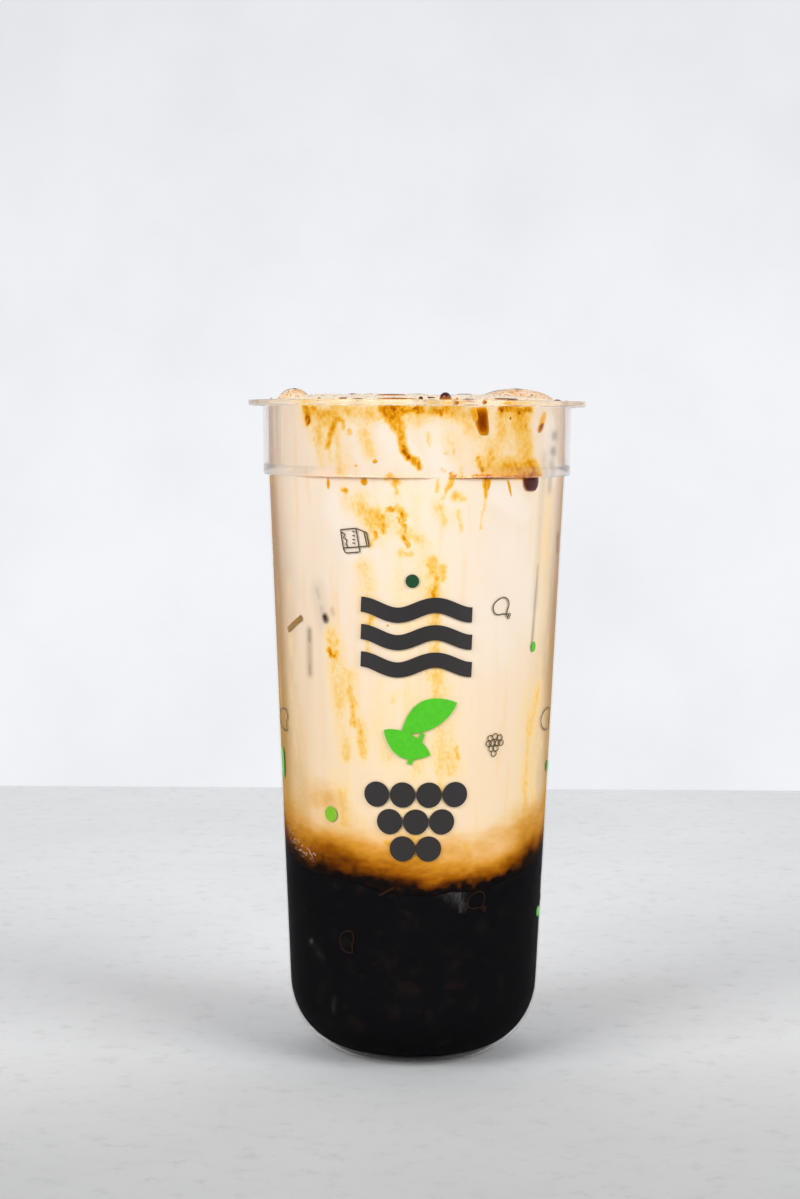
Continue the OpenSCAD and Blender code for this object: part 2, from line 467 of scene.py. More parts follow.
def clear_plastic(name, bend, thin, rough_low, rough_high):
    """Clear moulded plastic with faint flow lines. Light from the lamps passes straight through, and so
    does a share of what is seen, called thin."""
    material, tree = new_material(name)
    ripple = tree.noise(11, 34, detail=1)
    rough = tree.fit(tree.noise(4, 7), 0.3, 0.7, rough_low, rough_high)
    glass = principled(
        tree, Base_Color=(0.985, 0.98, 0.975), Roughness=rough, IOR=bend, Transmission_Weight=1.0,
        Normal=bump(tree, ripple, 0.2, 0.08))
    path = tree.tree.nodes.new("ShaderNodeLightPath").outputs
    passing = tree.calc("MAXIMUM", tree.calc("MAXIMUM", path["Is Shadow Ray"], path["Is Diffuse Ray"]), thin)
    through = tree.add("ShaderNodeBsdfTransparent", {0: (0.985, 0.98, 0.975, 1)})
    mixed = tree.add("ShaderNodeMixShader", {0: passing, 1: glass, 2: through})
    return finish_material(material, tree, mixed)


GOLD_STOPS = (
    (0.0, (255, 236, 206)), (0.22, (255, 222, 162)), (0.4, (251, 197, 92)), (0.56, (240, 168, 28)),
    (0.7, (214, 132, 8)), (0.84, (160, 74, 4)), (1.0, (70, 8, 2)),
)


def film_colours():
    """Syrup film from pale gold where it is thin to dark red-brown where it is thick."""
    return [(at, linear(*shade)) for at, shade in GOLD_STOPS]


# Colours of the change from the dark layer to milk: height over the layer, where the change is 25 mm high,
# and red, green and blue.
RISE_STOPS = (
    (0, (17, 15, 16)), (0.6, (34, 20, 12)), (1.6, (84, 42, 10)), (3.2, (128, 68, 10)), (5.2, (166, 98, 14)),
    (8, (208, 140, 40)), (11, (228, 160, 60)), (15, (241, 180, 82)), (20, (248, 202, 126)),
    (25, (251, 216, 158)),
)
RISE_TOP = 25


def milk_side():
    """Milk seen through the wall: cream, tan to the sides with painted shade there, caramel low down,
    streaked with syrup.
    """
    colours = settings().colours
    material, tree = new_material("milk_side")
    marks = channels(tree, "marks")
    tones = channels(tree, "tones")
    streak = tree.noise(3.2, 26, detail=3)
    fine = tree.noise(0.8, 1.2, detail=4, rough=0.65)
    wisp = tree.noise(3.5, 1.5, detail=4, rough=0.6)
    # Milk: cream in front, browner to the sides, where shade is painted into it, and lower down
    upper = tree.blend(tree.fit(tones[0], 0.0, 1.0), tuple(colours.cream), tuple(colours.tan))
    lower = tree.blend(tree.fit(tones[0], 0.0, 1.0), tuple(colours.low_cream), tuple(colours.caramel))
    milk = tree.blend(tones[1], upper, lower)
    milk = tree.blend(tree.times(tree.fit(streak, 0.52, 0.74), 0.4), milk, linear(250, 210, 150))
    milk = tree.blend(marks[2], milk, tuple(colours.ice_grey))
    # Painted shadow where ice lies against the wall behind the milk.
    smudge = tree.times(marks[1], tree.fit(fine, 0.2, 0.6, 0.75, 1))
    shadow = tree.blend(tree.fit(marks[1], 0.6, 1), linear(104, 78, 64), linear(48, 30, 34))
    milk = tree.blend(smudge, milk, shadow)
    # Syrup film on the wall, mottled by fine noise
    film = tree.times(marks[0], tree.fit(fine, 0.3, 0.7, 0.74, 1.16), clamp=True)
    milk = tree.blend(tree.fit(film, 0.02, 0.3), milk, tree.ramp(film, film_colours()))
    # Cloudy change into the dark layer
    ragged = tree.times(tree.calc("SUBTRACT", wisp, 0.5), 0.22)
    shift = tree.times(ragged, tree.fit(tones[2], 0.0, 0.2, 0.35, 1.0))
    rise = tree.calc("ADD", tones[2], shift, clamp=True)
    layer = tree.ramp(rise, [(at / RISE_TOP, linear(*shade)) for at, shade in RISE_STOPS])
    # Painted shade: the change into the dark layer turns darker brown towards the sides.
    layer = tree.blend(tree.times(tones[0], 0.42), layer, linear(60, 38, 16))
    shade = tree.blend(tree.fit(rise, 0.35, 1), layer, milk)
    foam = tree.times(tree.attribute("froth"), tree.fit(tree.cells(0.75), 0.38, 0.22))
    shade = tree.blend(foam, shade, linear(206, 178, 156))
    return finish_material(material, tree, matt(tree, shade, 0.6))


def channels(tree, name):
    """Red, green and blue of a colour that the mesh stores for each vertex."""
    split = tree.add("ShaderNodeSeparateColor", {0: tree.add("ShaderNodeAttribute", attribute_name=name)})
    return split.node.outputs


def milk_top():
    """Frothy milk on top, with brown marbling, wet."""
    colours = settings().colours
    material, tree = new_material("milk_top")
    curl = tree.noise(7, detail=4, rough=0.6)
    speck = tree.noise(0.8, detail=3, shift=9)
    foam = tree.cells(0.8)
    ring = tree.calc("ABSOLUTE", tree.calc("SUBTRACT", curl, 0.5))
    marble = tree.fit(ring, 0.045, 0.0)
    shade = tree.blend(tree.times(marble, 0.5), tuple(colours.froth), linear(226, 160, 84))
    shade = tree.blend(tree.fit(speck, 0.68, 0.78), shade, linear(150, 86, 34))
    wet = principled(tree, Base_Color=shade, Roughness=tree.fit(speck, 0.3, 0.7, 0.2, 0.4),
                     Subsurface_Weight=0.15, Subsurface_Scale=0.003,
                     Normal=bump(tree, foam, 0.35, 0.25))
    return finish_material(material, tree, wet)


def dark_syrup():
    """Nearly black syrup behind the wall, with faint brown patches, grey wisps of milk and a few painted
    glints.
    """
    colours = settings().colours
    material, tree = new_material("dark_syrup")
    patch = tree.noise(5, detail=3)
    haze_and_glints = tree.attribute("haze_and_glints")
    wisp = tree.noise(1.6, 3.5, detail=4, rough=0.65, shift=4)
    shade = tree.blend(tree.fit(patch, 0.55, 0.75), tuple(colours.black), linear(29, 23, 22))
    # Grey wisps of milk, and painted glints where the strokes are small and strong.
    veil = tree.times(haze_and_glints, tree.fit(wisp, 0.35, 0.7))
    shade = tree.blend(veil, shade, linear(112, 108, 108))
    return finish_material(material, tree, matt(tree, shade, 0.5))


def tapioca():
    """Nearly black pearls, wet with syrup like what is round them."""
    material, tree = new_material("tapioca")
    patch = tree.noise(2.5, detail=2)
    shade = tree.blend(patch, linear(18, 17, 18), linear(24, 20, 20))
    return finish_material(material, tree, matt(tree, shade, 0.5))


def wet_syrup(name, gloss):
    """Syrup drops: amber where they are thin, dark red-brown where they are thick."""
    material, tree = new_material(name)
    depth = tree.attribute("depth")
    mottle = tree.noise(0.6, detail=2)
    uneven = tree.times(tree.calc("SUBTRACT", mottle, 0.5), 0.16)
    shown = tree.calc("ADD", depth, uneven, clamp=True)
    shade = tree.ramp(shown, film_colours())
    return finish_material(material, tree, principled(
        tree, Base_Color=shade, Roughness=0.08 if gloss else 0.5, IOR=1.45,
        Specular_IOR_Level=0.5 if gloss else 0.0))


def coated_ice():
    """Ice under a skin of milk, with brown flecks and a painted dark outline where the lump's edge is seen
    from the front.
    """
    material, tree = new_material("coated_ice")
    curl = tree.noise(3.5, detail=4, rough=0.6)
    speck = tree.noise(0.55, detail=3, shift=2)
    shade = tree.blend(tree.fit(curl, 0.42, 0.66), linear(246, 214, 178), linear(232, 178, 112))
    shade = tree.blend(tree.fit(speck, 0.56, 0.64), shade, linear(120, 66, 22))
    # Painted shade: a dark line round the lump where its edge is seen from the front.
    outline_shade = tree.times(tree.attribute("outline_shade"), tree.fit(curl, 0.36, 0.56))
    shade = tree.blend(outline_shade, shade, linear(52, 27, 12))
    return finish_material(material, tree, principled(
        tree, Base_Color=shade, Roughness=0.22, IOR=1.33, Subsurface_Weight=0.1, Subsurface_Scale=0.002,
        Normal=bump(tree, curl, 0.4, 0.4)))


def froth_bubble():
    """Thin milk bubbles."""
    material, tree = new_material("froth_bubble")
    tint = tree.noise(1.5)
    shade = tree.blend(tint, linear(255, 240, 218), linear(244, 214, 172))
    return finish_material(material, tree, principled(tree, Base_Color=shade, Roughness=0.12, IOR=1.33))


def fleck_syrup():
    """Small dark flecks."""
    material, tree = new_material("fleck_syrup")
    tint = tree.noise(2)
    shade = tree.blend(tint, linear(60, 22, 8), linear(150, 84, 28))
    return finish_material(material, tree, principled(tree, Base_Color=shade, Roughness=0.2, IOR=1.45))


def ink(name, shade, gloss):
    """Screen-printed ink with slightly uneven cover."""
    material, tree = new_material(name)
    cover = tree.noise(1.3, detail=4)
    darker = tuple(0.9 * c for c in shade)
    mixed = tree.blend(tree.fit(cover, 0.3, 0.7), tuple(shade), darker)
    return finish_material(material, tree, principled(
        tree, Base_Color=mixed, Roughness=tree.fit(cover, 0.3, 0.7, 0.32, 0.45), IOR=1.4,
        Specular_IOR_Level=gloss,
        Normal=bump(tree, cover, 0.2, 0.02)))


def stage_surface(name, shade, lit, glow, axis, span, factors):
    """Plain pale stage surface: lit is its share of lamp light, and glow its own light. Both are multiplied
    by factors that change smoothly over a span along one axis, 1 for depth or 2 for height, a painted
    falloff of light."""
    material, tree = new_material(name)
    patches = tree.noise(140, detail=5, rough=0.6)
    grain = tree.noise(7, detail=7, rough=0.7)
    mixed = tree.blend(tree.fit(patches, 0.3, 0.75), shade, tuple(0.93 * c for c in shade))
    specks = tree.times(tree.fit(grain, 0.5, 0.75), lit)
    mixed = tree.blend(specks, mixed, tuple(0.84 * c for c in shade))
    at = tree.add("ShaderNodeSeparateXYZ", {0: tree.add("ShaderNodeTexCoord", out=3)}, out=axis)
    # Painted light: colour and glow brighten or dim smoothly along the axis.
    factor = tree.fit(at, *span, *factors)
    lit_shade = tree.scaled(mixed, tree.times(factor, lit))
    glowing = tree.scaled(mixed, factor)
    return finish_material(material, tree, principled(
        tree, Base_Color=lit_shade, Roughness=0.85, Specular_IOR_Level=0.1, Emission_Color=glowing,
        Emission_Strength=glow))


# ---------------------------------------------------------------- Geometry Nodes

def geometry_tree(name, inputs):
    """A geometry tree with the named inputs, its helper and its group input's outputs."""
    group = bpy.data.node_groups.new(name, "GeometryNodeTree")
    for label, kind in (("Geometry", "NodeSocketGeometry"), *inputs):
        group.interface.new_socket(label, in_out="INPUT", socket_type=kind)
    group.interface.new_socket("Geometry", in_out="OUTPUT", socket_type="NodeSocketGeometry")
    tree = Tree(group)
    start = group.nodes.new("NodeGroupInput").outputs
    return group, tree, start


def end_tree(tree, geometry, material, chosen=True):
    """Realizes instances, sets the material of the chosen faces and ends the tree."""
    solid = tree.add("GeometryNodeRealizeInstances", {0: geometry})
    smooth = tree.add("GeometryNodeSetShadeSmooth", {0: solid})
    painted = tree.add("GeometryNodeSetMaterial", {0: smooth, "Selection": chosen, "Material": material})
    tree.add("NodeGroupOutput", {0: painted})


def run_tree(piece, group, values):
    """Runs a tree on a piece with the given inputs and leaves a plain mesh."""
    modifier = piece.modifiers.new(group.name, "NODES")
    modifier.node_group = group
    sockets = {item.name: item for item in group.interface.items_tree if item.in_out == "INPUT"}
    for name, value in values.items():
        modifier[sockets[name].identifier] = value
    graph = bpy.context.evaluated_depsgraph_get()
    plain = bpy.data.meshes.new_from_object(piece.evaluated_get(graph))
    piece.modifiers.clear()
    piece.data = plain
    plain.name = piece.name


def revolve_tree():
    """Turns a half section, drawn with X outwards and Y down, round the Z axis.
    The bead and the rim take the thick finish, and the walls take the thin one."""
    group, tree, start = geometry_tree("revolve_section", (
        ("Segments", "NodeSocketInt"), ("Bead low", "NodeSocketFloat"), ("Bead high", "NodeSocketFloat"),
        ("Rim low", "NodeSocketFloat"), ("Thin finish", "NodeSocketMaterial"),
        ("Thick finish", "NodeSocketMaterial")))
    outline = tree.add("GeometryNodeMeshToCurve", {0: start["Geometry"]})
    path = tree.add("GeometryNodeCurvePrimitiveCircle", {"Resolution": start["Segments"], "Radius": 1e-7})
    skin = tree.add("GeometryNodeCurveToMesh", {"Curve": path, "Profile Curve": outline})
    merged = tree.add("GeometryNodeMergeByDistance", {"Geometry": skin, "Distance": 2e-6})
    thin = tree.add("GeometryNodeSetMaterial", {0: merged, "Material": start["Thin finish"]})
    height = tree.add("ShaderNodeSeparateXYZ", {0: tree.add("GeometryNodeInputPosition")}, out=2)
    bead = tree.times(tree.calc("GREATER_THAN", height, start["Bead low"]),
                     tree.calc("LESS_THAN", height, start["Bead high"]))
    thick = tree.calc("MAXIMUM", bead, tree.calc("GREATER_THAN", height, start["Rim low"]))
    end_tree(tree, thin, start["Thick finish"], tree.add("FunctionNodeCompare", {0: thick, 1: 0.5}))
    return group


def scatter_tree():
    """Scatters round or flattened bits over a surface, a set distance apart, sunk a little into it."""
    group, tree, start = geometry_tree("scatter_bits", (
        ("Spacing", "NodeSocketFloat"), ("Radius", "NodeSocketFloat"), ("Smallest", "NodeSocketFloat"),
        ("Flatness", "NodeSocketFloat"), ("Detail", "NodeSocketInt"), ("Seed", "NodeSocketInt"),
        ("Finish", "NodeSocketMaterial")))
    spread = tree.tree.nodes.new("GeometryNodeDistributePointsOnFaces")
    spread.distribute_method = "POISSON"
    for key, source in (("Mesh", "Geometry"), ("Distance Min", "Spacing"), ("Seed", "Seed")):
        tree.tree.links.new(start[source], spread.inputs[key])
    spread.inputs["Density Max"].default_value = 1e8
    ball = tree.add(
        "GeometryNodeMeshIcoSphere", {"Radius": start["Radius"], "Subdivisions": start["Detail"]})
    share = tree.add("FunctionNodeRandomValue", {2: start["Smallest"], 3: 1.0, "Seed": start["Seed"]}, out=1)
    thin = tree.times(share, start["Flatness"])
    size = tree.add("ShaderNodeCombineXYZ", {0: share, 1: share, 2: thin})
    bits = tree.add("GeometryNodeInstanceOnPoints", {
        "Points": spread.outputs["Points"], "Instance": ball, "Rotation": spread.outputs["Rotation"],
        "Scale": size})
    end_tree(tree, bits, start["Finish"])
    return group


# ---------------------------------------------------------------- the pearl layer's edge

def layer_edge():
    """Angles and heights of the pearl layer's top where it meets the wall, from the frame."""
    cup = section()
    turn, radius, z = polar([v.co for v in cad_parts["pearl_layer"].data.vertices])
    at_wall = radius > cup.inner(z) - 0.2
    turns = np.round(turn[at_wall])
    steps = np.unique(turns)
    heights = np.array([z[at_wall][turns == t].max() for t in steps])
    return steps, heights


# How far syrup has crept up the wall over the pearl layer: angle and height in mm.
CREEP = (
    (-80, 3.0), (-60, 1.6), (-35, 1.4), (-6, 0.8), (7, 0.6), (16, 1.6), (30, 0.5), (40, 0.3), (53, 0.6),
    (70, 2.2), (80, 3.0), (110, 0.4), (250, 0.4),
)


def layer_height(turn):
    """Height of the dark layer's edge at any angle."""
    steps, heights = layer_edge()
    return np.interp(turn, steps, heights, period=360) + np.interp(turn, *zip(*CREEP), period=360)


def milk_turns():
    """Angles of the milk's columns, closer together in front."""
    front, back = ((-100, 100, 270), (100, 260, 90))
    return np.concatenate([np.linspace(*span, endpoint=False) for span in (front, back)])


def dome_height(radius):
    """Height of the milk's top at a radius."""
    cup, drink = section(), settings().drink
    edge, rise = drink.edge / MM, drink.rise / MM
    return cup.height - edge + (rise + edge) * (1 - (radius / cup.mouth) ** 6)


def dome_relief(turn, radius):
    """Small waves in the milk's top, which die out at the wall."""
    a = np.radians(turn)
    wave = np.sin(3 * a + radius / 5) + 0.6 * np.sin(7 * a - radius / 3) + 0.4 * np.sin(radius + 5 * a)
    return 0.12 * wave * (1 - (radius / section().mouth) ** 4)


def dome_ring(name, inner, outer, lift):
    """A ring of the milk's top between two radii, lifted a little, to scatter bits over."""
    turns = all_round(72)
    radii = np.linspace(outer, inner, 12)
    rings = [place(turns, r, dome_height(r) + dome_relief(turns, r) + lift) for r in radii]
    return add_object(name, mesh_of(name, np.concatenate(rings), grid_faces(len(rings), len(turns))))


def lump_ring(middle, half, row, around):
    """One level ring of an ice lump, boxy in plan and a little uneven."""
    boxy = (np.abs(np.cos(around)) ** 3 + np.abs(np.sin(around)) ** 3) ** (-1 / 3) / 1.06
    dent = 1 + 0.03 * np.sin(3 * around + 2 * row) + 0.02 * np.sin(7 * around - 3 * row)
    out = boxy * dent * math.cos(row) ** 0.9
    up = math.sin(row) * (1 - 0.02 * (1 + np.sin(4 * around)) * abs(math.sin(row)))
    ring = [out * half[0] * np.sin(around), -out * half[1] * np.cos(around), up * half[2] * 0.985]
    return (np.stack(ring, axis=1) + middle) * MM


# ---------------------------------------------------------------- marks on the milk

# Broad thin washes of syrup on the wall: strength, half width in mm, and points of angle and height.
WASHES = (
    (0.34, 4.5, ((-44, 171.5), (-31, 170.5))), (0.26, 4.0, ((-41, 167), (-36, 160))),
    (0.24, 3.4, ((-31, 168), (-27, 157))), (0.22, 3.0, ((-24, 172), (-21, 167))),
    (0.3, 2.6, ((-21, 165.5), (-18.5, 161))), (0.3, 1.8, ((-30.5, 160.5), (-29, 156.5))),
    (0.4, 3.4, ((4, 172), (16, 171.5))), (0.22, 5.0, ((8, 168), (19, 161))),
    (0.3, 4.6, ((22, 167), (27, 158))), (0.33, 5.0, ((30, 170), (37, 160))),
    (0.42, 3.6, ((40, 170), (45, 158))), (0.46, 2.6, ((27, 157), (51, 157))),
    (0.2, 4.5, ((-24, 151), (-18, 146))), (0.24, 4.5, ((-18, 146), (-8, 142))),
    (0.2, 4.0, ((4, 150), (12, 145))), (0.22, 4.5, ((3, 138), (6, 126))), (0.24, 4.0, ((6, 126), (8, 104))),
    (0.2, 4.0, ((8, 104), (10, 84))), (0.22, 3.6, ((-20, 132), (-19, 116))),
    (0.24, 3.6, ((-27, 104), (-23, 84))), (0.2, 5.0, ((-14, 100), (-12, 84))),
    (0.22, 5.0, ((12, 100), (14, 82))), (0.2, 5.0, ((-34, 78), (-26, 66))),
    (0.24, 5.0, ((-8, 72), (0, 64))), (0.17, 7, ((60, 148), (58, 100))), (0.28, 7, ((58, 98), (55, 64))),
    (0.3, 3.5, ((-34, 114), (-30, 84))), (0.36, 3.0, ((-44, 171.5), (-12, 171))),
    (0.36, 3.2, ((-2, 171), (45, 171))), (0.34, 5, ((22, 168), (34, 160))),
    (0.38, 4, ((24, 160), (46, 158))), (0.3, 4.5, ((-23, 149), (-15, 141))),
    (0.16, 9, ((-4, 150), (0, 100), (2, 70))), (0.12, 5, ((-62, 125), (-60, 64))),
    (0.4, 4.5, ((88, 171), (104, 170))), (0.4, 4.0, ((128, 171), (142, 171))),
    (0.4, 4.6, ((166, 171), (188, 170))), (0.38, 4.2, ((-160, 171), (-142, 171))),
    (0.38, 4.0, ((-112, 171), (-94, 170))), (0.24, 4.0, ((98, 112), (95, 84))),
    (0.26, 4.0, ((178, 144), (181, 96))), (0.24, 4.0, ((-118, 116), (-122, 84))),
    (0.22, 4.0, ((144, 104), (149, 78))),
)

# Streaks and spots of syrup on the wall, in the same form.
STREAKS = (
    (0.66, 1.0, ((-46.6, 172), (-45.4, 169.8))), (0.76, 0.8, ((-45.2, 169.8), (-44.9, 168.6))),
    (0.56, 0.8, ((-43, 172.5), (-41.5, 171), (-38, 170.4))), (0.5, 0.7, ((-37.5, 171.8), (-35, 171))),
    (0.6, 1.1, ((-32.5, 169.4), (-33.2, 166.8))), (0.52, 1.1, ((-33.2, 166.8), (-35.6, 163.2))),
    (0.56, 0.55, ((-31.4, 169.9), (-29, 169.2), (-28.2, 167.6))), (0.46, 0.8, ((-27.2, 172), (-26.4, 171))),
    (0.4, 0.55, ((-26.2, 167), (-26, 166.2))), (0.34, 0.7, ((-40.4, 167.6), (-39.2, 164.5))),
    (0.3, 0.7, ((-41.5, 164), (-40.6, 161))), (0.28, 0.8, ((-30.5, 165), (-30, 161))),
    (0.26, 0.7, ((-34, 162), (-33.5, 159))), (0.4, 0.35, ((-16.9, 168.9), (-12.7, 169.7))),
    (0.66, 1.5, ((-13.2, 172.4), (-7, 171.6))), (0.62, 1.1, ((-7, 172), (0.8, 172.1))),
    (0.72, 0.7, ((-1.6, 172.2), (0.4, 171.8))), (0.6, 2.0, ((-11, 171.2), (-7.4, 168))),
    (0.6, 1.55, ((-7.4, 168), (-5.8, 165))), (0.64, 1.15, ((-5.8, 165), (-4.6, 161.8))),
    (0.9, 0.85, ((-4.7, 161.4), (-4.1, 160.2))), (0.72, 0.9, ((-4, 160.4), (-0.2, 158.6))),
    (0.66, 0.8, ((-0.4, 158.6), (1, 157.6))), (0.56, 1.0, ((5.2, 172.2), (9.6, 172))),
    (0.68, 0.7, ((7.7, 172.2), (8, 170.9))), (0.44, 0.7, ((11, 172), (12, 171.2))),
    (0.66, 1.2, ((33, 172.8), (46.6, 172.4))), (0.47, 2.9, ((41, 171.8), (44, 166))),
    (0.41, 3.2, ((44, 166), (45, 160))), (0.5, 2.2, ((34, 157.6), (49, 157.6))),
    (0.74, 0.35, ((12, 155.4), (26, 155.5), (40, 155.6), (53, 155.4))),
    (0.7, 0.7, ((40, 155.9), (53, 155.6))), (0.6, 1.2, ((46, 158.4), (50.4, 156.4))),
    (0.64, 0.6, ((23.3, 160), (24, 158.2), (24.8, 157))), (0.4, 0.8, ((27, 162.5), (27.5, 158))),
    (0.4, 0.6, ((8.5, 156.4), (9.8, 156))), (0.3, 0.6, ((16, 158.5), (16.2, 156.6))),
    (0.3, 0.45, ((3.2, 166.4), (4.4, 163.2))), (0.28, 0.5, ((12.4, 163.5), (13.4, 160.6))),
    (0.66, 0.8, ((27.3, 154.9), (27, 152.6))), (0.5, 0.6, ((26.9, 152.6), (26.1, 149.6))),
    (0.34, 0.5, ((26, 149.4), (24.8, 141.8))), (0.54, 0.7, ((12.6, 154.7), (11.4, 152.4))),
    (0.36, 0.6, ((11.6, 152.2), (9.8, 150))), (0.4, 0.6, ((7, 154.2), (7.4, 152))),
    (0.56, 0.55, ((-28.2, 151.9), (-27.2, 151.5))), (0.5, 0.8, ((-11, 154.7), (-6.5, 154.4))),
    (0.4, 0.7, ((-9, 153.6), (-7.2, 151))), (0.42, 2.0, ((-20.5, 147), (-16.5, 145))),
    (0.46, 1.8, ((-16, 145.2), (-13.6, 143))), (0.5, 0.8, ((-13, 145.4), (-12.4, 141.2))),
    (0.4, 1.2, ((-19.6, 144), (-17, 141.6))), (0.64, 0.7, ((-15.6, 140.6), (-15.2, 139.4))),
    (0.4, 0.8, ((-16.6, 139), (-17.4, 137.2))), (0.62, 0.8, ((-10.8, 147.6), (-9, 147))),
    (0.44, 1.1, ((-7.4, 147), (-4.6, 145.4))), (0.6, 0.4, ((-7, 144.4), (-5, 142.6), (-4, 140.8))),
    (0.62, 0.4, ((-5.6, 145.2), (-4.6, 143.6))), (0.6, 0.8, ((-4.8, 139.6), (-3.4, 138))),
    (0.3, 1.8, ((-6, 141), (2, 140))), (0.36, 1.0, ((-7, 136), (-3, 135.6))),
    (0.4, 1.2, ((14, 150.4), (17, 149.4))), (0.3, 1.1, ((9.4, 148), (10, 144.4))),
    (0.3, 1.0, ((16, 146), (17, 142))), (0.46, 0.7, ((4.2, 132.6), (5, 130.8))),
    (0.4, 0.9, ((9.8, 133), (9.6, 129.6))), (0.56, 0.7, ((6.8, 129), (6.7, 124.4))),
    (0.42, 1.6, ((6.6, 134), (7.2, 121))), (0.36, 1.8, ((7.2, 121), (7.4, 108))),
    (0.32, 1.8, ((7.4, 108), (8.2, 94))), (0.26, 1.6, ((8.2, 94), (10.6, 76))),
    (0.28, 1.0, ((4.6, 118), (5, 104))), (0.44, 0.8, ((-17.8, 119), (-20.4, 116.5), (-20, 114))),
    (0.34, 1.2, ((-19.4, 114), (-18.6, 108))), (0.4, 1.0, ((-13.4, 113.5), (-10.6, 112.5))),
    (0.62, 0.8, ((-36.6, 110.4), (-35.6, 109.2), (-34.2, 109))),
    (0.5, 0.45, ((-36.6, 113.2), (-36, 112.6))), (0.44, 0.45, ((-32.2, 113.6), (-31.6, 113))),
    (0.46, 0.5, ((-33.4, 110.6), (-33, 108))), (0.42, 1.5, ((-27.4, 100.6), (-24.6, 96))),
    (0.46, 0.9, ((-25.6, 96), (-26, 91))), (0.36, 1.6, ((-24, 92), (-22.4, 85))),
    (0.44, 0.7, ((-23.4, 90.4), (-23.8, 88.6))), (0.44, 0.7, ((1.8, 97.2), (3.6, 96.4))),
    (0.3, 1.0, ((-8, 100), (-9, 98))), (0.5, 0.7, ((16.6, 86.4), (17.6, 83.4))),
    (0.3, 1.2, ((13.6, 84), (14.2, 79))), (0.3, 1.6, ((-33, 74), (-31, 66))),
    (0.26, 1.6, ((0, 92), (1, 80))), (0.7, 0.5, ((-12, 61.3), (-8.4, 61.8))),
    (0.34, 0.9, ((22.5, 60), (25, 56))), (0.56, 1.6, ((92, 172), (93.6, 168))),
    (0.62, 1.1, ((93.6, 168), (95, 162))), (0.5, 1.8, ((98, 171.6), (104, 171))),
    (0.48, 1.1, ((97, 166), (99, 159))), (0.66, 1.2, ((131, 172), (129.4, 166))),
    (0.72, 0.9, ((129.4, 166), (128, 160))), (0.5, 1.8, ((128, 172), (140, 172))),
    (0.44, 0.8, ((128, 152), (127, 139))), (0.4, 1.6, ((118, 147), (121, 141))),
    (0.46, 0.9, ((122, 141), (121.6, 136))), (0.62, 1.8, ((171, 172), (176, 167))),
    (0.7, 1.4, ((176, 167), (178, 160))), (0.56, 1.4, ((180, 172), (187, 171.6))),
    (0.4, 1.6, ((178, 148), (180, 132))), (0.36, 1.6, ((180, 132), (181, 112))),
    (0.3, 1.6, ((181, 112), (179, 88))), (0.62, 1.3, ((-150, 172), (-147, 163))),
    (0.5, 1.6, ((-160, 172), (-150, 172))), (0.36, 1.6, ((-146, 150), (-148, 130))),
    (0.6, 1.1, ((-104, 172), (-101, 163))), (0.5, 1.6, ((-110, 172), (-98, 172))),
    (0.4, 1.4, ((-100, 149), (-103, 138))), (0.32, 1.6, ((-118, 112), (-121, 86))),
    (0.36, 1.4, ((98, 108), (95, 86))), (0.34, 1.4, ((146, 100), (149, 80))),
    (0.5, 0.7, ((152, 118), (151, 113))), (0.5, 0.6, ((-92, 128), (-91, 124))),
)

# Dark marks, painted shadow where ice lies behind the milk, and pale patches round them, in the same form.
ICE_MARKS = (
    (0.38, 1.2, ((-47.5, 115), (-47.8, 104))), (0.6, 0.8, ((-47.4, 115), (-47.5, 112.5))),
    (0.55, 0.8, ((-47.8, 106), (-47.8, 104))), (1.0, 1.0, ((-38.6, 119), (-38, 118.2))),
    (0.3, 1.2, ((-40, 121), (-39, 119))), (0.3, 0.7, ((-35, 121), (-34.6, 120))),
    (0.14, 2.4, ((-42, 126), (-39, 117))), (0.28, 0.9, ((-42.5, 126), (-41.5, 124))),
    (0.62, 0.6, ((55.5, 132), (53.8, 112.5))), (0.2, 1.6, ((56.5, 160), (55, 122))),
    (0.25, 0.9, ((55.5, 144), (56, 133))), (0.55, 1.3, ((63.6, 165.7), (65.6, 165.7))),
    (0.55, 1.3, ((62.6, 161.6), (64.6, 161.6))), (0.5, 1.5, ((75, 139), (76, 136))),
    (0.4, 1.6, ((62, 158), (61.5, 152))), (0.5, 0.6, ((112, 126), (113, 108))),
    (0.6, 0.5, ((-112, 138), (-113, 122))), (0.5, 0.7, ((156, 130), (157, 118))),
    (0.4, 0.6, ((-168, 112), (-169, 98))),
)
ICE_PATCHES = (
    (0.8, 3.6, ((-10, 166), (-2, 158))), (0.8, 3.0, ((6, 166), (9, 158))),
    (0.8, 3.4, ((60, 168), (63, 156))), (0.6, 3.0, ((-24, 166), (-20, 159))),
    (0.7, 3.6, ((32, 152), (44, 146))), (0.6, 4, ((-32, 148), (-26, 138))),
    (0.5, 9, ((40, 136), (50, 122))), (0.45, 7, ((30, 120), (34, 112))), (0.4, 8, ((-10, 158), (-4, 152))),
    (0.6, 10, ((112, 128), (116, 112))), (0.6, 11, ((-116, 134), (-108, 118))),
    (0.5, 10, ((158, 128), (164, 116))), (0.5, 9, ((-168, 112), (-160, 100))),
)

# Wisps of milk in the dark layer, and a few small painted glints, as strokes.
HAZE_AND_GLINTS = (
    (0.4, 2.6, ((13, 52), (17, 48.5))), (0.6, 0.9, ((19.5, 49), (21, 44))),
    (0.2, 0.5, ((-53.5, 33), (-45, 28.5))), (0.8, 0.6, ((-53.7, 32.8), (-53, 32.2))),
    (0.7, 0.4, ((-39.6, 19), (-38, 18.8))), (0.25, 0.5, ((-39, 18), (-40, 15.5))),
    (0.5, 0.8, ((120, 52), (122, 46))), (0.4, 0.7, ((-140, 50), (-138, 44))),
    (0.4, 1.2, ((172, 52), (176, 48))),
)

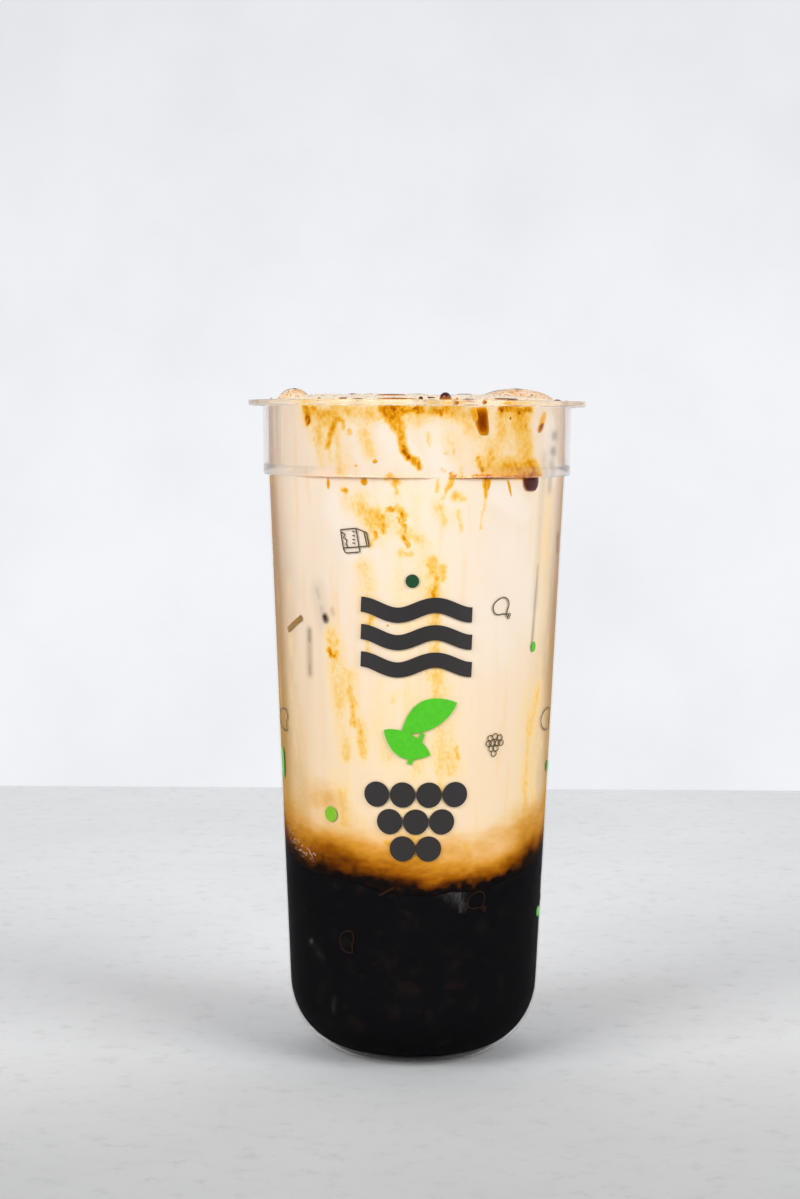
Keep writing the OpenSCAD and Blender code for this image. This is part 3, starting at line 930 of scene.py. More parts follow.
# Froth against the wall just over the dark layer.
FROTH_MARKS = (
    (0.9, 1.6, ((-72, 61), (-64, 58), (-58, 56.6), (-50, 56))), (0.7, 0.9, ((-66, 63.5), (-60, 61.5))),
    (0.5, 1.2, ((100, 60), (112, 58))), (0.6, 1.2, ((-150, 58), (-138, 57))),
)


def cloud(turn, z, wide, high, seed):
    """Smooth noise from -1 to 1 round the cup, with patches of about wide by high mm."""
    rows, columns = 128, max(3, round(240 / wide))
    grid = np.random.default_rng(SEED + seed).uniform(-1, 1, (rows, columns))
    u, v = np.asarray(turn) % 360 / 360 * columns, np.asarray(z) / high % rows
    i, j = v.astype(int), u.astype(int)
    fade_v, fade_u = ((t - k) ** 2 * (3 - 2 * (t - k)) for t, k in ((v, i), (u, j)))
    corner = [grid[(i + a) % rows, (j + b) % columns] for a in (0, 1) for b in (0, 1)]
    low = corner[0] + (corner[1] - corner[0]) * fade_u
    high_side = corner[2] + (corner[3] - corner[2]) * fade_u
    return low + (high_side - low) * fade_v


def syrup_film(turn, z):
    """Thickness of the syrup film on the wall, from 0 to 1, with feathery edges and mottled inside."""
    turns = turn + 0.8 * cloud(turn, z, 4, 5, 1) + 0.6 * cloud(turn, z, 1.4, 2, 2)
    heights = z + 0.6 * cloud(turn, z, 3.5, 4, 3) + 0.5 * cloud(turn, z, 1.3, 1.6, 4)
    wash, film = stroke_field(WASHES, turns, heights), stroke_field(STREAKS, turns, heights)
    wash = wash * (0.95 + 0.4 * cloud(turn, z, 2.4, 7, 5))
    film = film * (0.94 + 0.14 * cloud(turn, z, 1.8, 3, 6) + 0.12 * cloud(turn, z, 1.1, 1.1, 7))
    return np.clip(np.maximum(film, wash) + 0.25 * np.minimum(film, wash), 0, 1)


# How far the caramel reaches up over the dark layer, in mm, at some angles.
REACH = (
    (-75, 24), (-55, 26), (-38, 28), (-20, 25), (-8, 25), (4, 23), (14, 19), (26, 17), (40, 20), (55, 23),
    (75, 20), (110, 22), (145, 15), (180, 20), (215, 16), (250, 22),
)


def layer_tone(turn, above):
    """Share of the way from the dark layer up to plain milk."""
    reach = np.interp(turn, *zip(*REACH), period=360)
    cloudy = above * (1 + 0.3 * cloud(turn, above, 14, 7, 8))
    cloudy = cloudy + 0.9 * cloud(turn, above, 5, 3, 9) * smooth_step(0.5, 5, above)
    smoke = 1.2 + 1.1 * cloud(turn, above, 5, 3, 14) + 0.8 * cloud(turn, above, 1.6, 1.4, 15)
    return np.clip((cloudy - np.maximum(smoke, 0.4) * (1 - smooth_step(3, 9, above))) / reach, 0, 1)


def painted_side_shade(turn, z):
    """Painted shade of the milk's sides: 0 at the front, rising to 1 at the sides, and uneven behind, in
    soft upright bands.
    """
    aside = np.where(turn < 0, -turn - 3, turn - 9)
    front = smooth_step(22, 84, aside) ** np.interp(z, (80, 125, 165), (1.2, 1.3, 2.6))
    behind = 0.3 * (1 + np.sin(np.radians(3 * turn + 40))) * smooth_step(95, 130, np.abs(turn))
    bands = 0.09 * cloud(turn, z, 7, 60, 11) + 0.06 * cloud(turn, z, 3, 35, 12)
    return np.clip(front - behind + bands, 0, 1)


def stroke_field(strokes, turn, z):
    """Strength of the nearest strokes at each angle and height. Weak strokes fade from their middle, and
    strong ones have a full core."""
    radius = section().inner(z)
    field = np.zeros(np.shape(z))
    for strength, half_width, points in strokes:
        core = float(np.interp(strength, (0.42, 0.66), (0.0, 0.5)))
        steps = zip(points, points[1:])
        for (turn_a, z_a), (turn_b, z_b) in steps:
            across = np.radians((turn - turn_a + 180) % 360 - 180) * radius
            run = np.radians(turn_b - turn_a) * radius
            rise = z_b - z_a
            share = np.clip((across * run + (z - z_a) * rise) / (run ** 2 + rise ** 2), 0, 1)
            gap = np.hypot(across - share * run, z - z_a - share * rise)
            field = np.maximum(field, strength * (1 - smooth_step(core, 1.8 - 0.6 * core, gap / half_width)))
    return field


# ---------------------------------------------------------------- pieces on walls and rim

# Syrup between the wall and the milk: angle, height, half width, up, down, colour depth, lean, squareness.
INNER_DROPS = (
    (24.2, 169.5, 1.9, 3.4, 3.7, 0.92, -0.22, 0.5), (21.4, 171, 1.1, 1.8, 2.2, 0.6, -0.5, 0.7),
    (53.8, 168.2, 1.15, 2.5, 1.9, 0.88, 0.75, 0.8), (54.6, 169.6, 1.4, 2.3, 2.6, 0.5, 0.6),
    (36.5, 170.1, 0.35, 0.4, 0.4, 0.85, 0), (-35.3, 153.4, 0.5, 1.3, 1.6, 0.62, 0),
    (-20.1, 154.0, 0.95, 0.8, 1.1, 0.66, 0), (-27.6, 151.7, 0.6, 0.5, 0.5, 0.62, 0),
    (36.6, 153, 0.45, 1.6, 2.8, 0.62, -0.45), (27.2, 153.6, 0.7, 1.4, 1.6, 0.62, 0.15),
    (10.5, 161.4, 0.7, 0.6, 0.6, 0.22, 0), (28.8, 160, 0.7, 0.7, 0.6, 0.5, 0),
    (-15.8, 159.1, 0.65, 0.6, 0.6, 0.6, 0), (-23.2, 157.9, 0.4, 0.4, 0.4, 0.5, 0),
    (-10, 147.3, 0.55, 0.6, 0.5, 0.6, 0), (-3.8, 138.6, 0.7, 0.5, 0.9, 0.5, -1.2),
    (2.8, 96.6, 0.4, 0.35, 0.35, 0.6, 0), (-11.2, 117.5, 0.3, 0.3, 0.3, 0.6, 0),
    (107, 160, 0.7, 1.8, 2.2, 0.75, 0), (-128, 157, 0.6, 1.3, 2, 0.7, 0),
    (150, 153.6, 1.0, 1.2, 2.2, 0.86, 0), (-78, 153.8, 0.7, 1, 1.6, 0.7, 0),
)
# Syrup outside: the same, under the skirt's edge and on the rim's edge. The two long thin strips along the
# skirt's edge are partly syrup and partly painted shade of the bead.
OUTER_DROPS = (
    # Second and third rows: long dark strips along the skirt's edge, partly painted shade.
    (47.8, 154.7, 2.95, 0.5, 3.4, 1.4, 0, 0.6), (32, 155.1, 14.4, 0.3, 0.32, 1.1),
    (-24, 155.1, 20, 0.16, 0.2, 0.8), (12.3, 173.9, 0.66, 0.5, 0.55, 0.85, 0),
    (21.6, 174.1, 0.64, 0.6, 0.6, 0.85, 0), (-118, 154.9, 1.4, 0.3, 2.2, 0.9, 0),
    (128, 173.9, 0.6, 0.5, 0.5, 0.7, 0),
)
# Syrup on top: angle, radius, half length round the cup, half width, height, colour depth.
TOP_DROPS = (
    (9.3, 42.4, 1.6, 1.5, 1.85, 1.35), (14, 40.5, 0.45, 0.4, 0.5, 0.97), (1, 40.3, 0.6, 0.5, 0.8, 1.5),
    (-38.5, 40.2, 0.55, 0.4, 0.5, 0.95), (-64, 42.2, 0.35, 0.3, 0.4, 0.95),
    (18.6, 39.8, 1.6, 0.6, 0.35, 1.4), (37, 39.6, 2.0, 0.5, 0.3, 1.4), (25, 40.6, 0.35, 0.3, 0.3, 0.7),
    (64, 40.4, 1.9, 0.7, 0.45, 1.5), (-22, 40.2, 1.2, 0.35, 0.3, 1.4), (150, 41, 0.9, 0.7, 0.9, 0.95),
    (-150, 42, 0.7, 0.6, 0.7, 0.95), (100, 41, 0.6, 0.4, 0.4, 0.9), (-120, 40.6, 1.2, 0.5, 0.4, 0.9),
)
# Syrup on the milk: angle, radius, half length, half width, colour depth.
PUDDLES = (
    (-9, 38.2, 4.6, 0.35, 1.08), (-30, 38, 1.2, 0.3, 1.32), (36, 37.6, 4.0, 0.4, 1.24),
    (5, 36.5, 1.0, 0.6, 1.4), (-12, 30, 3.5, 1.0, 1.16), (30, 24, 2.4, 0.8, 1.24), (80, 33, 2.2, 0.7, 1.32),
    (140, 30, 3.4, 0.9, 1.16), (-160, 34, 2.6, 0.6, 1.24), (-100, 27, 2.8, 0.8, 1.08),
    (170, 18, 3.0, 1.1, 1.08), (-60, 20, 2.0, 0.7, 1.24), (-130, 36, 1.4, 0.4, 1.4),
    (110, 22, 1.6, 0.6, 1.32), (0, 10, 2.2, 1.0, 1.01),
)


def blob(turn, z, half_width, up, down, thickness, depth, base, lean=0.0, square=1.0):
    """A drop lying on a round surface: its place, size, swelling and colour depth. base gives the surface's
    radius at a height, lean slants the drop in degrees for each mm up, and a small square makes its sides
    straight."""
    sides, rings = 32, 8
    around = np.linspace(0, 2 * np.pi, sides, endpoint=False)
    side_way = np.sign(np.cos(around)) * np.abs(np.cos(around)) ** square
    up_way = np.sign(np.sin(around)) * np.abs(np.sin(around)) ** np.where(np.sin(around) > 0, square, 1.0)
    wobble = 1 + 0.04 * np.sin(3 * around + turn)
    reach = np.where(np.sin(around) > 0, up, down)
    points, depths = [], []
    for share in np.linspace(1, 0, rings + 1)[:-1]:
        side = half_width * share * wobble * side_way
        height = z + reach * share * wobble * up_way
        swell = thickness * math.sqrt(1 - share ** 2)
        radius = base(height)
        points.append(place(turn + np.degrees(side / radius) + lean * (height - z), radius + swell, height))
        depths.append(np.full(sides, depth * (0.55 + 0.45 * math.sqrt(1 - share ** 2))))
    under, crest = place(turn, base(z) - 0.1, z), place(turn, base(z) + thickness, z)
    return closed_drop(under, points, crest, depth, depths)


def closed_drop(under, rings, crest, depth, depths):
    """Vertices, faces and colour depths of a drop, from its underside over rings to its crest."""
    return *closed_skin(under, rings, crest), np.concatenate([[0.4 * depth], *depths, [depth]])


def pool(turn, radius, level, half_long, half_wide, thickness, depth, lobes=0.1):
    """A drop or puddle, long round the cup, on a surface whose height level gives at a radius."""
    sides, rings = 26, 6
    around = np.linspace(0, 2 * np.pi, sides, endpoint=False)
    wobble = 1 + lobes * np.sin(3 * around + turn) + 0.5 * lobes * np.sin(4 * around + 2 * turn)
    points, depths = [], []
    for share in np.linspace(1, 0, rings + 1)[:-1]:
        swell = math.sqrt(1 - share ** 2)
        out = radius + half_wide * share * wobble * np.sin(around)
        turns = turn - np.degrees(half_long * share * wobble * np.cos(around) / radius)
        points.append(place(turns, out, level(out) + thickness * swell))
        depths.append(np.full(sides, depth * (0.5 + 0.5 * swell)))
    under, crest = place(turn, radius, level(radius) - 0.2), place(turn, radius, level(radius) + thickness)
    return closed_drop(under, points, crest, depth, depths)


def drops_piece(name, drops, material):
    """One piece from several drops, with their colour depth as an attribute."""
    vertices, faces = joined([(points, sides) for points, sides, _ in drops])
    mesh = mesh_of(name, vertices, faces)
    write_attribute(mesh, "depth", np.concatenate([depth for _, _, depth in drops]))
    keep(add_object(name, mesh, material))


# ---------------------------------------------------------------- print

# Thickness of the ink outside the wall and inside it, and the width of a fine line.
INK, ROOTED, LINE = 0.04, 0.02, 0.3


def ink_patch(turns, heights, rows, columns):
    """A thin closed skin on the wall over a grid of angles and heights."""
    base = section().outer(heights)
    top = place(turns, base + INK, heights)
    under = place(turns, base - ROOTED, heights)
    vertices = np.concatenate([top, under])
    count = rows * columns
    faces = grid_faces(rows, columns, 0, closed=False)
    faces += [tuple(count + i for i in reversed(face)) for face in faces]
    rim = [*range(columns), *range(2 * columns - 1, count, columns),
           *range(count - 2, count - columns - 1, -1), *range(count - 2 * columns, 0, -columns)]
    faces += [(b, a, a + count, b + count) for a, b in zip(rim, rim[1:] + rim[:1])]
    return vertices, faces


def ribbon(points, width, turn, z, columns=3):
    """A printed line of a given width through points in mm, round the middle (turn, z)."""
    points = np.asarray(points, float)
    steps = np.hypot(*np.diff(points, axis=0).T)
    along = np.concatenate([[0], np.cumsum(steps)])
    rows = max(len(points), int(along[-1] / 0.6) + 2)
    at = np.linspace(0, along[-1], rows)
    path = np.stack([np.interp(at, along, points[:, k]) for k in (0, 1)], axis=1)
    slope = np.gradient(path, axis=0)
    slope /= np.hypot(*slope.T)[:, None] + 1e-9
    side = np.stack([-slope[:, 1], slope[:, 0]], axis=1)
    offsets = np.linspace(0.5, -0.5, columns) * width
    spots = (path[:, None] + side[:, None] * offsets[None, :, None]).reshape(-1, 2)
    return on_wall(spots, turn, z, rows, columns)


def on_wall(spots, turn, z, rows, columns):
    """A grid of spots in mm laid on the wall."""
    heights = z + spots[:, 1]
    turns = turn + np.degrees(spots[:, 0] / section().outer(heights))
    return ink_patch(turns, heights, rows, columns)


def disc(turn, z, radius, squash=1.0):
    """A printed dot."""
    around = np.linspace(0, 2 * np.pi, 40, endpoint=False)
    wall = section().outer
    rings = []
    for share, lift in ((1, -ROOTED), (1, INK), (0.7, INK), (0.35, INK)):
        height = z + share * radius * squash * np.sin(around)
        side = np.degrees(share * radius * np.cos(around) / wall(height))
        rings.append(place(turn + side, wall(height) + lift, height))
    return closed_skin(place(turn, wall(z) - ROOTED, z), rings, place(turn, wall(z) + INK, z))


def leaf(turn, z, long, wide, slant):
    """A printed leaf with pointed ends."""
    rows, columns = 17, 7
    t = np.linspace(0, 1, rows)
    half = wide / 2 * np.sin(np.pi * t) ** 0.8 + 0.02
    bow = 0.12 * wide * np.sin(np.pi * t)
    x = np.repeat((t - 0.5) * long, columns)
    y = np.outer(half, np.linspace(1, -1, columns)) + bow[:, None]
    spots = np.stack([x, y.ravel()], axis=1)
    c, s = math.cos(math.radians(slant)), math.sin(math.radians(slant))
    return on_wall(spots @ np.array([[c, s], [-s, c]]), turn, z, rows, columns)


def circle_points(x, y, radius, start=0, stop=360, steps=24):
    """Points of a drawn circle or arc."""
    a = np.radians(np.linspace(start, stop, steps + 1))
    return np.stack([x + radius * np.cos(a), y + radius * np.sin(a)], axis=1)


def wave_points(width, height, waves):
    """Points of a wavy line centred on the origin."""
    x = np.linspace(-width / 2, width / 2, 48)
    return np.stack([x, height / 2 * np.sin(2 * np.pi * waves * x / width)], axis=1)


def carton(turn, z):
    """Outline of a small carton lying on its side."""
    box_front = [(-4, 2.6), (0.4, 3.1), (1.2, -1.6), (-3.3, -2), (-4, 2.6)]
    top = [(-3.3, -2), (-2.7, -3.3), (1.4, -2.9), (1.2, -1.6)]
    side = [(0.4, 3.1), (2.6, 2.3), (3.4, -1.4), (1.2, -1.6)]
    cap = [(2.6, 2.3), (3.3, 2.1), (4, -1.5), (3.4, -1.4)]
    splash = [(-3.9, 2), (-2.8, 1.6), (-3.1, 0.5), (-2.2, 0.1), (-2.5, -1.1), (-1.8, -1.9)]
    dashes = [[(-0.6, y), (0.1, y)] for y in (2.2, 1.2, 0.2, -0.7)]
    return [ribbon(p, LINE, turn, z) for p in (box_front, top, side, cap, splash, *dashes)]


def round_fruit(turn, z):
    """Outline of a round fruit with a short stem."""
    a = np.radians(np.linspace(-50, 310, 40))
    reach = 2.3 + 0.35 * np.sin(2 * a + 0.5) + 0.7 * np.exp(-(np.minimum(a - a[0], a[-1] - a) / 0.3) ** 2)
    body = np.stack([-0.6 + reach * np.cos(a), 0.4 + reach * np.sin(a)], axis=1)
    flower = [circle_points(1.5 + x, -2.0 + y, 0.35, steps=10) for x, y in ((0, 0), (0.7, 0.1), (0.4, -0.6))]
    return [ribbon(body, LINE, turn, z)] + [ribbon(ring, LINE * 0.7, turn, z) for ring in flower]


def berries(turn, z):
    """Outline of a cluster of round berries."""
    middles = [(-1.5, 1.9), (0, 2.3), (1.5, 1.9), (-0.8, 0.6), (0.8, 0.6), (-1.9, 0.6), (1.9, 0.6),
               (-1.1, -0.8), (0.3, -0.8), (-0.3, -2.1)]
    return [ribbon(circle_points(x, y, 0.78, steps=14), LINE * 0.8, turn, z) for x, y in middles]


def half_moon(turn, z, wide=1.0):
    """Outline of a rounded slice, stretched sideways."""
    rim = circle_points(0, 0, 2.9, 70, 290)
    parts = [rim, np.array([rim[0], (1.5, 0.8), (0.8, -0.6), rim[-1]])]
    return [ribbon(part * (wide, 1), LINE, turn, z) for part in parts]


def print_piece(name, parts, shade, gloss=0.5):
    """One piece from several printed parts in one ink."""
    mesh = mesh_of(name, *joined(parts))
    mesh.set_sharp_from_angle(angle=math.radians(40))
    keep(add_object(name, mesh, ink(name.replace("print", "ink"), shade, gloss)))


# ---------------------------------------------------------------- operators

class BUBBLETEA_OT_mould_cup(bpy.types.Operator):
    """Make the clear cup by turning its half section"""
    bl_idname = "bubbletea.mould_cup"
    bl_label = "Mould the cup"

    def execute(self, context):
        cup = section()
        points = [(radius * MM, -z * MM, 0) for radius, z in reversed(cup.outline())]
        mesh = bpy.data.meshes.new("cup_wall")
        mesh.from_pydata(points, [(i, i + 1) for i in range(len(points) - 1)], [])
        piece = add_object("cup_wall", mesh)
        run_tree(piece, revolve_tree(), {
            "Segments": settings().cup.segments, "Bead low": (cup.skirt_z - 0.2) * MM,
            "Bead high": (cup.bead_top + 0.3) * MM, "Rim low": (cup.rim_under - 0.5) * MM,
            "Thin finish": clear_plastic("clear_wall", 1.1, 0.8, 0.02, 0.05),
            "Thick finish": clear_plastic("clear_rim", 1.4, 0.15, 0.03, 0.06)})
        piece.data.set_sharp_from_angle(angle=math.radians(50))
        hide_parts("cup")
        keep(piece)
        return {"FINISHED"}


class BUBBLETEA_OT_pour_syrup(bpy.types.Operator):
    """Make the dark layer of syrup, which reaches into the wall"""
    bl_idname = "bubbletea.pour_syrup"
    bl_label = "Pour the syrup"

    def execute(self, context):
        cup, reach = section(), settings().drink.reach / MM
        turns = all_round(192)
        edge = layer_height(turns)
        foot = cup.floor_z - reach
        corner = [z for _, z in arc(0, cup.corner_h, 1, cup.corner_h - foot, -90, 0, 18)]
        rings = [place(turns, cup.base * share, foot) for share in (0.3, 0.65)]
        rings += [place(turns, cup.inner(max(z, cup.floor_z)) + reach, z) for z in corner]
        side = [cup.corner_h + (edge - cup.corner_h) * share for share in np.linspace(0, 1, 26)[1:]]
        rings += [place(turns, cup.inner(z) + reach, z) for z in side]
        lid = 0.3
        rings += [place(turns, cup.inner(edge) * share, edge + lid) for share in np.linspace(1, 0, 9)[1:-1]]
        low, high = (0, 0, foot * MM), (0, 0, (edge.mean() + lid) * MM)
        mesh = mesh_of("syrup_layer", *closed_skin(low, rings, high))
        turn, _, z = polar([v.co for v in mesh.vertices])
        write_attribute(mesh, "haze_and_glints", stroke_field(HAZE_AND_GLINTS, turn, z))
        piece = add_object("syrup_layer", mesh, dark_syrup())
        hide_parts("pearl_layer")
        keep(piece)
        return {"FINISHED"}


class BUBBLETEA_OT_add_pearls(bpy.types.Operator):
    """Scatter tapioca pearls against the wall in the dark layer"""
    bl_idname = "bubbletea.add_pearls"
    bl_label = "Add the pearls"

    def execute(self, context):
        cup, drink = section(), settings().drink
        radius, reach = drink.pearl_radius / MM, drink.reach / MM
        turns = all_round(96)
        flatness, proud = 0.7, 0.15
        top = layer_height(turns) - radius - 1
        lowest = cup.corner_h - 3
        rows = [lowest + (top - lowest) * share for share in np.linspace(0, 1, 12)]
        rings = [place(turns, cup.inner(z) - flatness * radius + reach + proud, z) for z in rows]
        mesh = mesh_of("pearls", np.concatenate(rings), grid_faces(len(rings), len(turns)))
        piece = add_object("pearls", mesh)
        run_tree(piece, scatter_tree(), {
            "Spacing": 2.02 * drink.pearl_radius, "Radius": drink.pearl_radius, "Smallest": 0.88,
            "Flatness": flatness, "Detail": 4, "Seed": SEED, "Finish": tapioca()})
        keep(piece)
        return {"FINISHED"}


class BUBBLETEA_OT_pour_milk(bpy.types.Operator):
    """Make the milk from the dark layer up to the rim"""
    bl_idname = "bubbletea.pour_milk"
    bl_label = "Pour the milk"

    def execute(self, context):
        cup, reach = section(), settings().drink.reach / MM
        turns = milk_turns()
        edge = layer_height(turns)
        brim = cup.height - settings().drink.edge / MM - cup.mm["edge_round"]
        inset = 0.1
        rings = [place(turns, cup.inner(edge) * share, edge + inset) for share in (0.35, 0.7)]
        heights = [edge + (brim - edge) * share for share in np.linspace(0, 1, 225)]
        rings += [place(turns, cup.inner(z) + reach, z) for z in heights]
        rings += [place(turns, cup.mouth * share, brim - inset) for share in (0.8, 0.4)]
        low, high = (0, 0, edge.mean() * MM), (0, 0, (brim - inset) * MM)
        mesh = mesh_of("milk_tea", *closed_skin(low, rings, high))
        turn, _, z = polar([v.co for v in mesh.vertices])
        above = z - layer_height(turn)
        solid = np.ones(len(z))
        ice = [stroke_field(strokes, turn, z) for strokes in (ICE_MARKS, ICE_PATCHES)]
        marks = [syrup_film(turn, z), *ice, solid]
        # The first tone is painted shade, rising towards the cup's sides.
        tones = [painted_side_shade(turn, z), smooth_step(85, 22, above), layer_tone(turn, above), solid]
        write_attribute(mesh, "marks", np.stack(marks, axis=1), "FLOAT_COLOR")
        write_attribute(mesh, "tones", np.stack(tones, axis=1), "FLOAT_COLOR")
        write_attribute(mesh, "froth", stroke_field(FROTH_MARKS, turn, z))
        piece = add_object("milk_tea", mesh, milk_side())
        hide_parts("milk")
        keep(piece)
        return {"FINISHED"}


class BUBBLETEA_OT_top_milk(bpy.types.Operator):
    """Make the low dome of frothy milk at the mouth of the cup"""
    bl_idname = "bubbletea.top_milk"
    bl_label = "Top the milk"

    def execute(self, context):
        cup = section()
        turns = all_round(300)
        under = cup.height - 2.5
        rings = [place(turns, (cup.mouth - 1) * share, under) for share in (0.5, 1)]
        radii = (cup.mouth + 0.05) * np.sin(np.linspace(np.pi / 2, 0, 120))[:-1]
        rings += [place(turns, r, dome_height(r) + dome_relief(turns, r)) for r in radii]
        low, high = (0, 0, under * MM), (0, 0, dome_height(0) * MM)
        mesh = mesh_of("milk_froth", *closed_skin(low, rings, high))
        keep(add_object("milk_froth", mesh, milk_top()))
        return {"FINISHED"}


class BUBBLETEA_OT_float_ice(bpy.types.Operator):
    """Make the lumps of ice that stand out of the milk"""
    bl_idname = "bubbletea.float_ice"
    bl_label = "Float the ice"

    def execute(self, context):
        material = coated_ice()
        for node in ICE_NODES:
            low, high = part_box(node)
            middle, half = (np.array(low) + high) / 2 / MM, (np.array(high) - low) / 2 / MM
            rows = np.radians(np.linspace(-84, 84, 30))
            around = np.radians(all_round(64))
            rings = [lump_ring(middle, half, row, around) for row in rows]
            bottom, top = (middle + (0, 0, -half[2])) * MM, (middle + (0, 0, half[2])) * MM
            mesh = mesh_of(node + "_lump", *closed_skin(bottom, rings, top))
            # Painted shade: a band through the lump's middle, which from the front lies along its outline.
            across = np.array([v.co.y for v in mesh.vertices]) / MM - middle[1]
            write_attribute(mesh, "outline_shade", 1 - smooth_step(0.3, 1.9, np.abs(across)))
            piece = add_object(node + "_lump", mesh, material)
            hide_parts(node)
            keep(piece)
        return {"FINISHED"}


class BUBBLETEA_OT_drip_syrup(bpy.types.Operator):
    """Make the thick syrup: drops on the rim, the walls and the milk"""
    bl_idname = "bubbletea.drip_syrup"
    bl_label = "Drip the syrup"

    def execute(self, context):
        cup, reach = section(), settings().drink.reach / MM
        wet, still = wet_syrup("wet_syrup", True), wet_syrup("syrup_on_wall", False)

        def inside(z):
            return cup.inner(z) + reach + 0.02

        def outside(z):
            at_rim = np.asarray(z) > cup.rim_under - 1
            return np.where(at_rim, cup.rim, cup.side(np.asarray(z, float))) - 0.05

        def rim_top(_):
            return cup.height - 0.03

        film, bead, puddle, uneven = 0.16, 0.75, 0.3, 0.25
        inner = [blob(*drop[:5], film, drop[5], inside, *drop[6:]) for drop in INNER_DROPS]
        drops_piece("syrup_on_wall", inner, still)
        outer = [blob(*drop[:5], bead, drop[5], outside, *drop[6:]) for drop in OUTER_DROPS]
        outer += [pool(turn, radius, rim_top, *shape) for turn, radius, *shape in TOP_DROPS]
        outer += [pool(*drop[:2], dome_height, *drop[2:4], puddle, drop[4], uneven) for drop in PUDDLES]
        drops_piece("syrup_drops", outer, wet)
        return {"FINISHED"}


class BUBBLETEA_OT_froth_top(bpy.types.Operator):
    """Scatter froth bubbles and flecks of syrup over the milk"""
    bl_idname = "bubbletea.froth_top"
    bl_label = "Froth the top"

    def execute(self, context):
        cup, drink = section(), settings().drink
        scatter = scatter_tree()
        edge = dome_ring("froth_bubbles", cup.mouth * 0.9, cup.mouth - 0.5, -0.08)
        run_tree(edge, scatter, {
            "Spacing": 2.3 * drink.bubble_radius, "Radius": drink.bubble_radius, "Smallest": 0.3,
            "Flatness": 0.45, "Detail": 2, "Seed": SEED + 1, "Finish": froth_bubble()})
        keep(edge)
        flecks = dome_ring("syrup_flecks", 2, cup.mouth - 0.6, 0.0)
        run_tree(flecks, scatter, {
            "Spacing": 9 * drink.fleck_radius, "Radius": drink.fleck_radius, "Smallest": 0.3,
            "Flatness": 0.2, "Detail": 2, "Seed": SEED + 2, "Finish": fleck_syrup()})
        keep(flecks)
        return {"FINISHED"}


class BUBBLETEA_OT_print_cup(bpy.types.Operator):
    """Print plain shapes on the cup: waves, leaves, pearls, dots, bars and small outlines"""
    bl_idname = "bubbletea.print_cup"
    bl_label = "Print the cup"

    def execute(self, context):
        colours = settings().colours
        bold = 3.9
        waves = [ribbon(wave_points(29, 2.6, 1.5), bold, 0, z, columns=9) for z in (121.5, 114.5, 107.5)]
        middle, apart = 0.2, 10.8
        pearls = [disc(middle + apart * (i - (count - 1) / 2), z, 3.3)
                  for count, z in ((4, 74), (3, 67), (2, 60)) for i in range(count)]
        print_piece("print_charcoal", waves + pearls, colours.charcoal)
        leaves = [leaf(5.5, 94, 16, 7.5, 28), leaf(-3.5, 87.5, 13.5, 6.5, 152)]
        stem = [ribbon([(-2, -5), (0, -1), (1.5, 3)], 1.2, 0.5, 87)]
        dots = [disc(*dot) for dot in (
            (54, 111, 0.98, 1.35), (77.5, 78, 1.5), (-75.5, 78.5, 1.5, 2.8), (74, 39, 1.4),
            (128, 120, 1.6), (-128, 92, 1.6), (160, 62, 1.6), (-162, 128, 1.6))]
        print_piece("print_green", leaves + stem + dots, colours.leaf_green)
        pale = [disc(-37.5, 67.8, 2.0), disc(142, 67.8, 2.0)]
        deep = [disc(-1.7, 128.9, 1.72), disc(178, 104, 1.72)]
        print_piece("print_pale_green", pale, colours.pale_green)
        print_piece("print_deep_green", deep, colours.deep_green)
        bars = [ribbon([(-3.6, -1.9), (3.6, 1.9)], 1.35, -56.8, 116.5),
                ribbon([(-2, 1.6), (2, -1.6)], 1.0, 112, 92), ribbon([(-2, -1.6), (2, 1.6)], 1.0, -150, 66)]
        print_piece("print_ochre", bars, colours.ochre)
        lines = []
        for behind in (0, 180):
            lines += carton(-24 + behind, 139)
            lines += round_fruit(35.5 + behind, 121.8) + berries(34 + behind, 86.2)
        lines += half_moon(-70, 90.5, 1.8) + half_moon(72, 91, 1.8) + berries(-112, 60)
        print_piece("print_lines", lines, linear(82, 66, 34))
        dark = half_moon(-29.5, 34.6) + round_fruit(28.4, 45.6) + berries(-150, 40)
        dark += [ribbon([(-2, -1.1), (2, 1.2)], 0.6, -12, 48.6)]
        print_piece("print_dark_lines", dark, linear(44, 26, 14), gloss=0.1)
        return {"FINISHED"}


class BUBBLETEA_OT_set_stage(bpy.types.Operator):
    """Set the camera, the pale table and backdrop, and the soft lights"""
    bl_idname = "bubbletea.set_stage"
    bl_label = "Set the stage"

    def execute(self, context):
        stage = settings().stage
        add_camera(stage)
        end, behind = stage.table_back, stage.table_back + 0.25
        table = [(-2, -1.5, 0), (2, -1.5, 0), (2, end, 0), (-2, end, 0)]
        wall = [(-2.2, behind, -0.4), (2.2, behind, -0.4), (2.2, behind, 1.2), (-2.2, behind, 1.2)]
        # Painted light: the table is lighter towards the back, and the wall's glow dimmer towards the top.
        stage_plane("stage_table", table, shade=linear(216, 217, 218), lit=1.0, glow=0.0,
                    axis=1, span=(-0.2, 0.12), factors=(0.8, 1.27))
        stage_plane("stage_wall", wall, shade=linear(245, 246, 250), lit=0.05, glow=0.95,
                    axis=2, span=(0.1, 0.55), factors=(1.0, 0.87))
        for light in LIGHTS:
            add_light(*light)
        add_world()
        return {"FINISHED"}


# Lights: name, place and target in metres, and watts.
LIGHTS = (
    ("key", (-1.05, -1.0, 0.85), (0, 0, 0.1), 19.5),
    ("fill", (1.15, -0.95, 0.8), (0, 0, 0.1), 19),
    ("top", (0, 0.1, 1.3), (0, 0, 0), 2),
)


